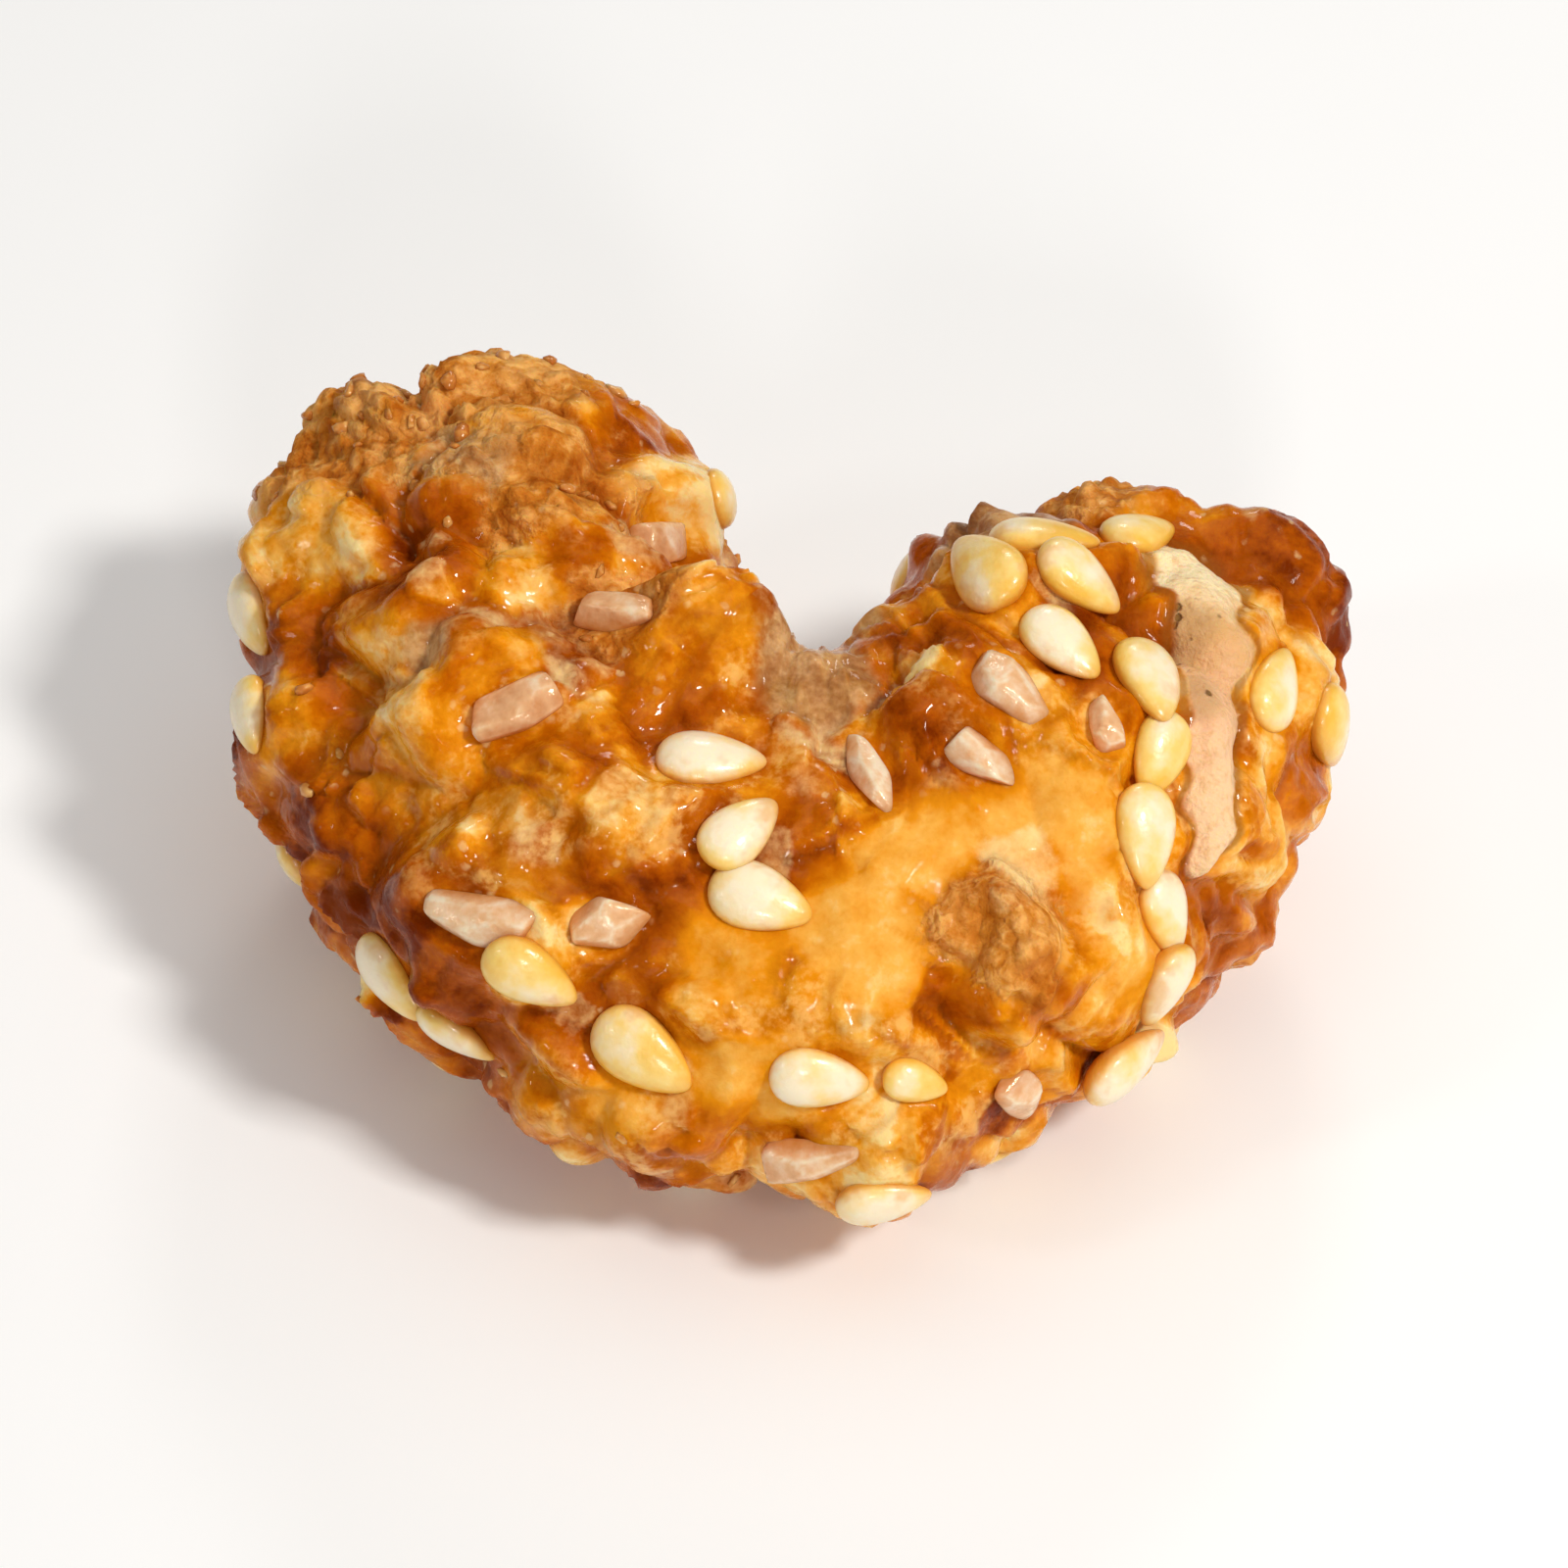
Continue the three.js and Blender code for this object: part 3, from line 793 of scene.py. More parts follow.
@dataclass(frozen=True)
class CaramelCoat:
    """Coat of set caramel over the whole nut, with its flat underside.

    Tones run from 0, dark, to 1, light. The densities say how much closer a ring's points lie at
    the back and on top. What is named calm or clearing is the share that a look or a rim takes
    away from the relief or from other looks.
    """

    relief: Relief = Relief()
    streak: PaleStreak = PaleStreak()
    crumb: Crumb = Crumb()
    crust: Crumb = CRUST
    chips: Chips = Chips()
    lumps: FineLumps = FineLumps()
    rings: int = 430
    sides: int = 219
    back_density: float = 0.25
    top_density: float = 0.35
    seed: int = 11
    lump_tones: Span = (0.3, 0.78)
    plain_tone: float = 0.55
    plain_weight: float = 1e-4
    tone_drift: tuple[Swell, ...] = (Swell(0.16, 3.2, 21), Swell(0.1, 1.3, 22))
    tone_rise: float = 0.34
    rise_ends: Span = (0.1, 1.3)
    usual_rise: float = 0.62
    crease_depth: float = 0.5
    patch_edge: Span = (0.45, 1.2)
    edge_wobble: float = 0.5
    edge_swell: Swell = Swell(0.18, 1.6, 23)
    grainy_dust: float = 0.85
    dusty_grain: float = 0.9
    amber_clearing: float = 0.9
    pale_floor: float = 0.6
    crumb_paleness: float = 0.55
    lump_share: Span = (0.5, 1.25)
    swell: Swell = Swell(0.1, 1.5, 31)
    grit: Swell = Swell(0.05, 0.6, 32)
    grit_share: Span = (0.5, 2.0)
    bare_calm: float = 0.8
    bare_clearing: float = 0.9
    fade_floor: float = 0.4
    crust_depth: float = 0.16
    crust_lumps: float = 0.35
    most: float = 0.56
    rim_calm: float = 0.45
    meniscus: float = 0.12
    nub: float = 0.6
    nub_edge: Span = (0.6, 1.0)

    def lump_masks(self, skin: Array) -> tuple[Array, Array]:
        """Tone and creases that the small lumps bring.

        A lump's own tone holds where its dome is the highest, by a blend that weighs each dome by
        its fourth power, and lightens with the dome, since the caramel ran off it. A crease is
        where the two highest domes are nearly as high.

        Args:
            skin: Points of the bare skin.

        Returns:
            The tone, and the crease from 0 to 1.
        """
        random = np.random.default_rng(self.seed)
        centres, radii, _ = self.relief.small_lumps()
        tones = random.uniform(*self.lump_tones, len(radii))
        first, second = np.zeros((2, len(skin)))
        weight = np.full(len(skin), self.plain_weight)
        tone = weight * self.plain_tone
        nearby = Nearby(self.relief.warped(skin))
        for centre, radius, own_tone in zip(centres, radii, tones):
            near, offset = nearby.of(centre, radius)
            height = radius * dome(length(offset), radius)
            second[near] = np.maximum(second[near], np.minimum(first[near], height))
            first[near] = np.maximum(first[near], height)
            weight[near] += height**4
            tone[near] += height**4 * own_tone
        tone /= weight
        tone += sum(swell.over(skin) for swell in self.tone_drift)
        tone += self.tone_rise * (smooth(*self.rise_ends, first) - self.usual_rise)
        return tone, 1 - smooth(0.0, self.crease_depth, first - second)

    def masks(self, skin: Array) -> CoatMasks:
        """Looks over the coat, from its lumps and patches.

        A patch fades with distance, and its edge wobbles with the tone of the lumps, so it
        follows them.

        Args:
            skin: Points of the bare skin.

        Returns:
            The masks, each as long as the points.
        """
        tone, crease = self.lump_masks(skin)
        wobble = 1 + self.edge_wobble * (tone - 0.5) + self.edge_swell.over(skin)
        amounts = {look: np.zeros(len(skin)) for look in Look}
        for look, patches in PATCHES.items():
            for patch in patches:
                reach = length(skin - self.relief.crescent.skin_at(patch.at)) * wobble / patch.radius
                amount = patch.strength * (1 - smooth(*self.patch_edge, reach))
                amounts[look] = np.maximum(amounts[look], amount)
        amounts[Look.BARE] *= 1 - amounts[Look.GRAINY]
        for look, (own_tone, hold) in LOOK_TONES.items():
            tone = mix(tone, own_tone, hold * amounts[look])
        streak, run, ridge = self.streak.amount(self.relief.crescent, skin)
        grainy, bare = amounts[Look.GRAINY], amounts[Look.BARE]
        dust = np.maximum(amounts[Look.DUSTY], self.grainy_dust * grainy) * (1 - streak)
        clear = 1 - self.amber_clearing * amounts[Look.AMBER]
        return CoatMasks(
            tone=np.clip(tone, 0.0, 1.0),
            crease=crease,
            dust=dust * clear,
            pale=amounts[Look.PALE] * mix(self.pale_floor, 1.0, crease),
            frost=amounts[Look.FROST] * clear,
            streak=streak,
            run=run,
            ridge=ridge + self.nub * smooth(*self.nub_edge, grainy),
            grain=np.maximum(grainy, self.dusty_grain * dust) * (1 - bare),
            bare=bare,
            pits=amounts[Look.PITTED],
        )

    def fine_relief(self, skin: Array, masks: CoatMasks) -> Array:
        """Fine lumps, a swell and grit: higher where the coat is grainy, nearly none where bare.

        Args:
            skin: Points of the bare skin.
            masks: The looks there.

        Returns:
            One height for each point.
        """
        lumps = self.lumps.height(self.relief, skin) * mix(*self.lump_share, masks.grain)
        grit = self.grit.over(skin) * mix(*self.grit_share, masks.grain)
        calm = self.bare_calm * np.maximum(masks.streak, masks.bare)
        return (lumps + grit) * (1 - calm) + self.swell.over(skin)

    def grid(self) -> tuple[Array, Array]:
        """Places of the coat's points: a pole, rings that lie evenly along the back, and a pole.

        The points of a ring lie closer together at the back and on top, by a sine and a cosine.

        Returns:
            Places along and around.
        """
        turns = np.arange(self.sides) / self.sides
        closer_back = self.back_density * np.sin(turns * TURN) / TURN
        closer_top = self.top_density * (1 - np.cos(turns * TURN)) / TURN
        even = self.relief.crescent.even_along(np.arange(1, self.rings) / self.rings)
        along, around = np.meshgrid(even, turns - closer_back - closer_top, indexing="ij")
        along = np.concatenate([[0.0], along.ravel(), [1.0]])
        return along, np.concatenate([[0.0], around.ravel(), [0.0]])

    def surface(self, toppings: Sequence["Toppings"]) -> CoatSurface:
        """Coat as one closed surface of along and around, with its looks.

        A point is the bare skin, raised along its normal by the relief, by the fine relief, chips
        and crumb together, or the crust where it is grainy, softly limited, and by a low rim where
        the caramel climbs each topping. Toppings press down what would cover them. What would lie
        below the table is at it.

        Args:
            toppings: Seeds and crystals that the coat climbs.

        Returns:
            The surface: its first pole, its rings in turn, and its last pole.
        """
        along, around = self.grid()
        skin = self.relief.crescent.skin(along, around)
        normal = self.relief.crescent.skin_normal(along, around)
        masks = self.masks(skin)
        chips, chip_tone, chip_pale = self.chips.cover(self.relief, skin)
        crumb, crumb_tone, crumb_pale = self.crumb.cover(self.relief, skin)
        crust, crust_tone, crust_pale = self.crust.cover(self.relief, skin)
        plain = 1 - np.maximum(masks.streak, self.bare_clearing * masks.bare)
        height = self.relief.height(skin, around)
        rim = np.zeros(len(skin))
        for topping in toppings:
            rim = np.maximum(rim, topping.footprint(skin + normal * height[:, None]))
        fine = self.fine_relief(skin, masks) + (chips + crumb) * plain
        grainy = crust + self.crust_lumps * fine - self.crust_depth
        fade = mix(self.fade_floor, 1.0, self.relief.fade(skin, around))
        fine = self.most * np.tanh(mix(fine, grainy, masks.grain) * fade / self.most)
        height += fine * (1 - self.rim_calm * rim) + masks.ridge + self.meniscus * rim
        points = skin + normal * height[:, None]
        for topping in toppings:
            points = topping.press(points)
        points[:, 2] = np.maximum(points[:, 2], 0.0)
        pieces_pale = self.crumb_paleness * np.maximum(chip_pale, crumb_pale) * plain
        looks = {
            "pale": np.maximum(masks.pale, pieces_pale),
            "chip": (chip_tone + crumb_tone) * plain,
            "rim": rim,
            "crust": crust_tone,
            "crumb": crust_pale,
        }
        return CoatSurface(points, *self.facing(points), masks, looks)

    def facing(self, points: Array) -> tuple[Array, Array]:
        """Way out of the coat at each point, and the area that the point stands for.

        Both come from the cross product of the steps to its neighbours along and around.

        Args:
            points: The coat's points, poles included, whose area is taken as none.

        Returns:
            Unit vectors, and areas in square millimetres.
        """
        grid = points[1:-1].reshape(self.rings - 1, self.sides, 3)
        along_way = np.gradient(grid, axis=0)
        around_way = (np.roll(grid, -1, axis=1) - np.roll(grid, 1, axis=1)) / 2
        across = np.cross(along_way, around_way).reshape(-1, 3)
        across = np.concatenate([np.zeros((1, 3)), across, np.zeros((1, 3))])
        return unit(across), length(across)

    def build(self, surface: CoatSurface) -> bpy.types.Object:
        """Mesh of the finished coat, with its masks and looks as attributes.

        Args:
            surface: The finished coat.

        Returns:
            The coat's object.
        """
        points = self.relief.crescent.to_frame(surface.points)
        coat = closed_surface("caramel_coat", points, self.rings - 1, self.sides)
        for name, values in {**vars(surface.masks), **surface.looks}.items():
            add_attribute(coat, name, values)
        return coat


@dataclass(frozen=True)
class Chain:
    """Run of toppings between two places on the skin, which stray up to half the breadth aside.

    The size is the length and width of its things, or for seeds a share of the usual ones.
    """

    name: str
    start: Place
    end: Place
    tone: float = 0.5
    size: tuple[float, float] = (1.0, 1.0)
    breadth: float = 0.0
    count: int = 1


@dataclass(frozen=True)
class Lie:
    """How things lie: along, around, the angle from forward to their long side, and their tones."""

    along: Array
    around: Array
    turn: Array
    tones: Array


@dataclass(frozen=True)
class Seats:
    """Places and poses of toppings: middles, bases whose rows are long, wide and out, and tones."""

    middles: Array
    bases: Array
    tones: Array


def chain_places(crescent: Crescent, chain: Chain) -> Triple:
    """Places along a chain, evenly along its run and straying to either side of it.

    Args:
        crescent: The nut's bare skin.
        chain: The chain.

    Returns:
        Places along and around, and the angle from the forward direction to the run.
    """
    nudge, tip_room = 0.01, 0.015
    run_along = chain.end[0] - chain.start[0]
    run_around = chain.end[1] - chain.start[1]
    run_around -= math.floor(run_around + 0.5)
    i = np.arange(chain.count)
    part = (i + 0.5) / chain.count
    along = chain.start[0] + run_along * part
    around = chain.start[1] + run_around * part
    here = crescent.skin(along, around)
    along_scale = length(crescent.skin(along + nudge, around) - here) / nudge
    around_scale = length(crescent.skin(along, around + nudge) - here) / nudge
    turn = np.arctan2(run_around * around_scale, run_along * along_scale)
    stray = chain.breadth * (share(0.25 + i * STEP_C + chain.start[0]) - 0.5)
    along = np.clip(along - stray * np.sin(turn) / along_scale, tip_room, 1 - tip_room)
    return along, around + stray * np.cos(turn) / around_scale, turn


def by_thing(chains: Sequence[Chain], values: Sequence[object]) -> Array:
    """Value of each chain, repeated for each of its things."""
    return np.repeat(np.array(values), [chain.count for chain in chains], axis=0)


def laid(crescent: Crescent, chains: Sequence[Chain]) -> Lie:
    """Lie of the things of all chains in turn.

    A thing lies nearly along a narrow chain, and any way in a broad one.

    Args:
        crescent: The nut's bare skin.
        chains: The chains.

    Returns:
        Their lie.
    """
    runs = [chain_places(crescent, chain) for chain in chains]
    along, around, turn = (np.concatenate(parts) for parts in zip(*runs))
    least, broad = 0.06, 4
    freedom = by_thing(chains, [min(1.0, least + chain.breadth / broad) for chain in chains])
    turn = turn + TURN * freedom * (share(0.2 + np.arange(len(along)) * STEP_A) - 0.5)
    return Lie(along, around, turn, by_thing(chains, [chain.tone for chain in chains]))


def seats_on(relief: Relief, lie: Lie, thickness: Array, sink: Array) -> Seats:
    """Places and poses on the coat for things that lie on it.

    Each one's middle is raised to the highest coat near it, but by no more than leaves its
    underside in the coat, and then sunk a little.

    Args:
        relief: The coat's relief.
        lie: How the things lie.
        thickness: Thickness of each thing.
        sink: How far it sinks.

    Returns:
        The seats.
    """
    slope_reach, near_reach = 0.03, 0.02
    along, around, turn = lie.along, lie.around, lie.turn
    out = out_of(relief.coat, along, around, slope_reach)
    _, _, forward = relief.crescent.centre_line(along)
    side = unit(np.cross(out, forward))
    ahead = np.cross(side, out)
    long = ahead * np.cos(turn)[:, None] + side * np.sin(turn)[:, None]
    wide = np.cross(out, long)
    middle = relief.coat(along, around)
    highest = np.zeros(len(along))
    for step_along, step_around in ((1, 0), (-1, 0), (0, 1), (0, -1)):
        beside = np.clip(along + step_along * near_reach, 0.0, 1.0)
        near = relief.coat(beside, around + step_around * near_reach)
        highest = np.maximum(highest, ((near - middle) * out).sum(axis=1))
    raised = np.minimum(highest, thickness / 2) - sink
    return Seats(middle + out * raised[:, None], np.stack([long, wide, out], axis=1), lie.tones)


@dataclass(frozen=True)
class Toppings:
    """Things stuck in the coat: their seats, and the length, width and thickness of each.

    The coat climbs a rim, which is measured from a margin outside each thing. It dips to a level,
    a share of the thing's thickness from its middle. Coat that is further from the middle than
    the reach, in millimetres, is left alone.
    """

    name: str
    seats: Seats
    sizes: Array
    margin: tuple[float, float, float] = (0.25, 0.25, 0.6)
    rim: Span = (0.72, 1.2)
    level: float = -0.05
    dip: Span = (0.95, 1.9)
    reach: float = 1.6

    def near_each(self, points: Array) -> Iterator[tuple[Array, Array, Array, Array]]:
        """Points near each thing, in its own axes.

        Args:
            points: Points of the coat.

        Yields:
            The thing's way out and size, and the numbers and places of the points.
        """
        nearby = Nearby(points)
        for middle, basis, size in zip(self.seats.middles, self.seats.bases, self.sizes):
            near, offset = nearby.of(middle, size.max())
            yield basis[2], size, near, offset @ basis.T

    def footprint(self, points: Array) -> Array:
        """How near each point is to a thing: 1 within the rim's start, and 0 at the rim's end.

        The distance is a share of the thing's half sizes plus the margin.

        Args:
            points: Points of the coat.

        Returns:
            One number for each point.
        """
        amount = np.zeros(len(points))
        for _, size, near, local in self.near_each(points):
            reach = length(local / (size / 2 + np.array(self.margin)))
            amount[near] = np.maximum(amount[near], 1 - smooth(*self.rim, reach))
        return amount

    def press(self, points: Array) -> Array:
        """Coat's points, lowered to just under the middle of each thing that they would cover.

        Args:
            points: Points of the coat.

        Returns:
            The points, moved along the thing's way out by what is above its level, times a share
            that falls from 1 at the dip's start to 0 at its end.
        """
        points = points.copy()
        for out, size, near, local in self.near_each(points):
            amount = 1 - smooth(*self.dip, length(local[:, :2] / (size[:2] / 2)))
            amount *= np.abs(local[:, 2]) < self.reach
            above = np.maximum(0.0, local[:, 2] - self.level * size[2])
            points[near] -= out * (amount * above)[:, None]
        return points

    def build(self, crescent: Crescent, forms: Array, edges: Array) -> bpy.types.Object:
        """Joins the things into one mesh, each set in its seat and kept above the table.

        Args:
            crescent: The nut's bare skin, for its frame.
            forms: Grids of points in each thing's own axes: things, rings, sides, 3. The first
                and the last ring are poles, of which one point is kept.
            edges: How near each point is to an edge between faces, from 0 to 1.

        Returns:
            The joined object, with each point's tone, rise, place along and edge as attributes.
        """
        count, rings, sides, _ = forms.shape
        placed = np.einsum("nrsk,nkx->nrsx", forms, self.seats.bases)
        placed += self.seats.middles[:, None, None, :]
        placed[..., 2] = np.maximum(placed[..., 2], 0.0)
        kept = slice(sides - 1, (rings - 1) * sides + 1)
        points = placed.reshape(count, rings * sides, 3)[:, kept].reshape(-1, 3)
        thing = closed_surface(self.name, crescent.to_frame(points), rings - 2, sides, count)
        shares = forms / self.sizes[:, None, None, :] + 0.5
        looks = {
            "tone": np.broadcast_to(self.seats.tones[:, None, None], edges.shape),
            "rise": shares[..., 2],
            "tip": shares[..., 0],
            "edge": edges,
        }
        for name, values in looks.items():
            add_attribute(thing, name, values.reshape(count, -1)[:, kept].ravel())
        return thing


SEED_CHAINS = (
    Chain("over the notch", (0.455, 0.236), (0.483, 0.248), 1.0),
    Chain("below the notch", (0.496, 0.194), (0.508, 0.206), 0.8),
    Chain("above the smooth middle", (0.503, 0.169), (0.533, 0.157), 0.7),
    Chain("left of the right crown", (0.78, 0.3), (0.812, 0.324), 0.3),
    Chain("middle of the right crown", (0.82, 0.3), (0.82, 0.226), 0.2),
    Chain("behind the right crown", (0.859, 0.33), (0.859, 0.254), 0.1),
    Chain("before the crown", (0.772, 0.28), (0.754, 0.228), 1.0),
    Chain("chain down the right flank", (0.797, 0.209), (0.698, 0.106), 0.4, breadth=0.2, count=3),
    Chain("rim of the right flank", (0.712, 0.094), (0.692, 0.002), 0.7, breadth=0.2, count=2),
    Chain("foot of the right flank", (0.66, 0.983), (0.688, 0.983), 1.0),
    Chain("beside the streak", (0.81, 0.107), (0.848, 0.119), 0.4),
    Chain("tip of the right lobe", (0.859, 0.07), (0.859, 0.02), 0.3),
    Chain("far end of the right lobe", (0.905, 0.26), (0.939, 0.232), 0.1),
    Chain("left of the back", (0.347, 0.012), (0.413, -0.004), 0.6, breadth=0.2, count=2),
    Chain("left flank", (0.418, 0.095), (0.446, 0.071), 0.3),
    Chain("foot of the back", (0.465, 0.06), (0.491, 0.04), 0.4),
    Chain("over the drop", (0.531, 0.052), (0.564, 0.046), 0.9),
    Chain("small, over the drop", (0.573, 0.043), (0.593, 0.035), 0.3, (0.62, 0.62)),
    Chain("under the drop", (0.555, 0.971), (0.581, 0.971), 0.6),
    Chain("outer side of the left lobe", (0.123, 0.054), (0.289, 0.054), 0.8, breadth=0.2, count=2),
    Chain("foot of the left lobe", (0.24, 0.95), (0.32, 0.9), 0.4, breadth=1.8, count=2),
    Chain("far side of the left lobe", (0.12, 0.38), (0.05, 0.7), breadth=3.4, count=4),
    Chain("wall of the hollow", (0.2, 0.44), (0.24, 0.52), 0.4, breadth=1.0, count=2),
    Chain("far side of the right lobe", (0.96, 0.36), (0.9, 0.66), breadth=2.6, count=4),
    Chain("under the back", (0.3, 0.88), (0.8, 0.88), breadth=3.0, count=4),
)


@dataclass(frozen=True)
class SesameSeeds:
    """Toasted sesame seeds: round at one end, pointed at the other, and a little flat."""

    chains: tuple[Chain, ...] = SEED_CHAINS
    size: tuple[float, float, float] = (3.0, 1.85, 1.1)
    size_spread: float = 0.22
    tone_spread: float = 0.3
    sink: Span = (-0.05, 0.3)
    point: float = 0.34
    rings: int = 19
    sides: int = 20

    def toppings(self, relief: Relief) -> Toppings:
        """Seats for the seeds, of sizes, tones and depths that vary in even steps.

        Args:
            relief: The coat's relief.

        Returns:
            The seeds.
        """
        lie = laid(relief.crescent, self.chains)
        i = np.arange(len(lie.tones))
        scale = by_thing(self.chains, [chain.size[0] for chain in self.chains])
        scale = scale * (1 - self.size_spread * share(0.3 + i * STEP_B))
        tones = np.clip(lie.tones + self.tone_spread * (share(0.4 + i * STEP_C) - 0.5), 0.0, 1.0)
        thickness = np.full(len(tones), self.size[2])
        sink = mix(*self.sink, share(0.6 + i * STEP_C))
        seats = seats_on(relief, replace(lie, tones=tones), thickness, sink)
        return Toppings("sesame_seeds", seats, scale[:, None] * [self.size])

    def forms(self, toppings: Toppings) -> tuple[Array, Array]:
        """Seed surfaces.

        x runs from the round end to the point by a cosine, and the girth there is the circle's,
        slimmed in a straight line towards the point.

        Args:
            toppings: The seeds.

        Returns:
            Grids of points, and how near an edge they are: nowhere, as a seed has none.
        """
        x = -np.cos(math.pi * np.linspace(0.0, 1.0, self.rings))
        girth = np.sqrt(np.maximum(0.0, 1 - x * x)) * (1 - self.point * x)
        turn = np.arange(self.sides) / self.sides * TURN
        one = np.empty((self.rings, self.sides, 3))
        one[..., 0] = x[:, None]
        one[..., 1:] = girth[:, None, None] * np.stack([np.cos(turn), -np.sin(turn)], axis=-1)
        forms = one * toppings.sizes[:, None, None, :] / 2
        return forms, np.zeros(forms.shape[:3])


CRYSTAL_CHAINS = (
    Chain("left flank, long", (0.385, 0.088), (0.427, 0.109), 0.7, (2.7, 1.5)),
    Chain("left flank, short", (0.442, 0.122), (0.462, 0.131), 0.6, (1.7, 1.5)),
    Chain("beside the white seed", (0.692, 0.272), (0.702, 0.231), 0.8, (1.9, 1.6)),
    Chain("before the right lobe", (0.648, 0.25), (0.665, 0.203), 0.9, (2.0, 1.1)),
    Chain("below the notch", (0.573, 0.281), (0.593, 0.209), 0.9, (2.6, 1.1)),
    Chain("foot of the back", (0.529, 0.984), (0.561, 0.994), 0.8, (2.3, 1.3)),
    Chain("beside the chain of seeds", (0.739, 0.209), (0.725, 0.181), 0.5, (1.4, 1.1)),
    Chain("corner of the left lobe", (0.21, 0.335), (0.18, 0.375), 0.3, (2.0, 1.5)),
    Chain("ridge of the left lobe", (0.305, 0.266), (0.33, 0.291), 0.1, (1.9, 1.4)),
    Chain("over the ridge", (0.335, 0.181), (0.365, 0.225), 0.2, (2.6, 1.7)),
    Chain("by the drop", (0.618, 0.031), (0.635, 0.963), 0.9, (1.8, 1.4)),
    Chain("behind, left", (0.06, 0.5), (0.25, 0.7), 0.5, (2.1, 1.6), 3.0, 3),
    Chain("behind, right", (0.95, 0.42), (0.85, 0.7), 0.5, (2.1, 1.6), 3.0, 3),
)


@dataclass(frozen=True)
class SugarBlocks:
    """Six-sided blocks of sugar, worn and uneven, with rounded edges and a smaller flat at each end."""

    block_sides: int = 6
    end_radii: tuple[float, float] = (0.35, 0.28)
    edge: Span = (0.88, 1.0)
    sharpness: float = 14.0
    uneven: float = 0.22
    rings: int = 31
    sides: int = 34

    def faces(self) -> tuple[Array, Array]:
        """Flat faces of a block, 1 long and 1 across its waist.

        A side face leans by the slope between its end's radius and the waist's. Its distance from
        the middle is the waist's inner radius times the cosine of that lean.

        Returns:
            Directions out of the faces, and their distances from the middle.
        """
        inner = math.cos(math.pi / self.block_sides)
        ways, reaches = [(-1.0, 0.0, 0.0), (1.0, 0.0, 0.0)], [0.5, 0.5]
        for end, radius in zip((-1, 1), self.end_radii):
            lean = math.atan2((0.5 - radius) * inner, 0.5)
            out = math.cos(lean)
            for side in range(self.block_sides):
                turn = TURN * (side + 0.5) / self.block_sides
                ways.append((end * math.sin(lean), out * math.cos(turn), out * math.sin(turn)))
                reaches.append(0.5 * inner * out)
        return np.array(ways), np.array(reaches)

    def turned_faces(self, count: int, random: np.random.Generator) -> tuple[Array, Array]:
        """Faces of each block: turned about its long side by its number, then shifted and leant.

        Args:
            count: Number of blocks.
            random: The draw.

        Returns:
            Directions and distances, for each block and face.
        """
        faces, reaches = self.faces()
        unevenly = random.uniform(1 - self.uneven, 1 + self.uneven, (count, len(faces)))
        rolls = np.arange(count, dtype=float)
        cosine, sine = np.cos(rolls)[:, None], np.sin(rolls)[:, None]
        turned = np.empty((count, len(faces), 3))
        turned[..., 0] = faces[:, 0]
        turned[..., 1] = faces[:, 1] * cosine - faces[:, 2] * sine
        turned[..., 2] = faces[:, 1] * sine + faces[:, 2] * cosine
        return unit(turned + random.normal(0.0, self.uneven, turned.shape)), reaches * unevenly

    def forms(self, toppings: Toppings) -> tuple[Array, Array]:
        """Block surfaces, as distances from the middle by direction.

        The distance is that of a soft maximum over the flat faces: the power mean of how far the
        direction leans to each face, to the power minus one over the sharpness. An edge is where
        the direction leans to two faces nearly alike.

        Args:
            toppings: The crystals or grains.

        Returns:
            Grids of points, blocks by rings by sides by 3, and how near an edge each of them is.
        """
        random = np.random.default_rng(len(toppings.sizes))
        faces, reaches = self.turned_faces(len(toppings.sizes), random)
        u = np.linspace(0.0, math.pi, self.rings)[:, None]
        v = np.arange(self.sides)[None, :] / self.sides * TURN
        x, y, z = np.broadcast_arrays(-np.cos(u), np.sin(u) * np.cos(v), -np.sin(u) * np.sin(v))
        ways = np.stack([x, y, z], axis=-1)
        leans = np.maximum(0.0, np.einsum("rsx,nfx->nrsf", ways, faces)) / reaches[:, None, None]
        reach = (leans**self.sharpness).sum(axis=-1) ** (-1 / self.sharpness)
        ranked = np.sort(leans, axis=-1)
        edges = smooth(*self.edge, ranked[..., -2] / ranked[..., -1])
        return ways * reach[..., None] * toppings.sizes[:, None, None, :], edges


@dataclass(frozen=True)
class SugarCrystals(SugarBlocks):
    """Coarse sugar crystals, cloudy and pinkish, half sunk in the coat, the darker ones deeper."""

    chains: tuple[Chain, ...] = CRYSTAL_CHAINS
    thick: float = 0.74
    sink: Span = (0.5, 0.15)

    def toppings(self, relief: Relief) -> Toppings:
        """Seats for the crystals, whose thickness is a share of their width.

        Args:
            relief: The coat's relief.

        Returns:
            The crystals.
        """
        lie = laid(relief.crescent, self.chains)
        sizes = by_thing(self.chains, [chain.size for chain in self.chains])
        sizes = np.column_stack([sizes, self.thick * sizes[:, 1]])
        seats = seats_on(relief, lie, sizes[:, 2], mix(*self.sink, lie.tones))
        return Toppings("sugar_crystals", seats, sizes)


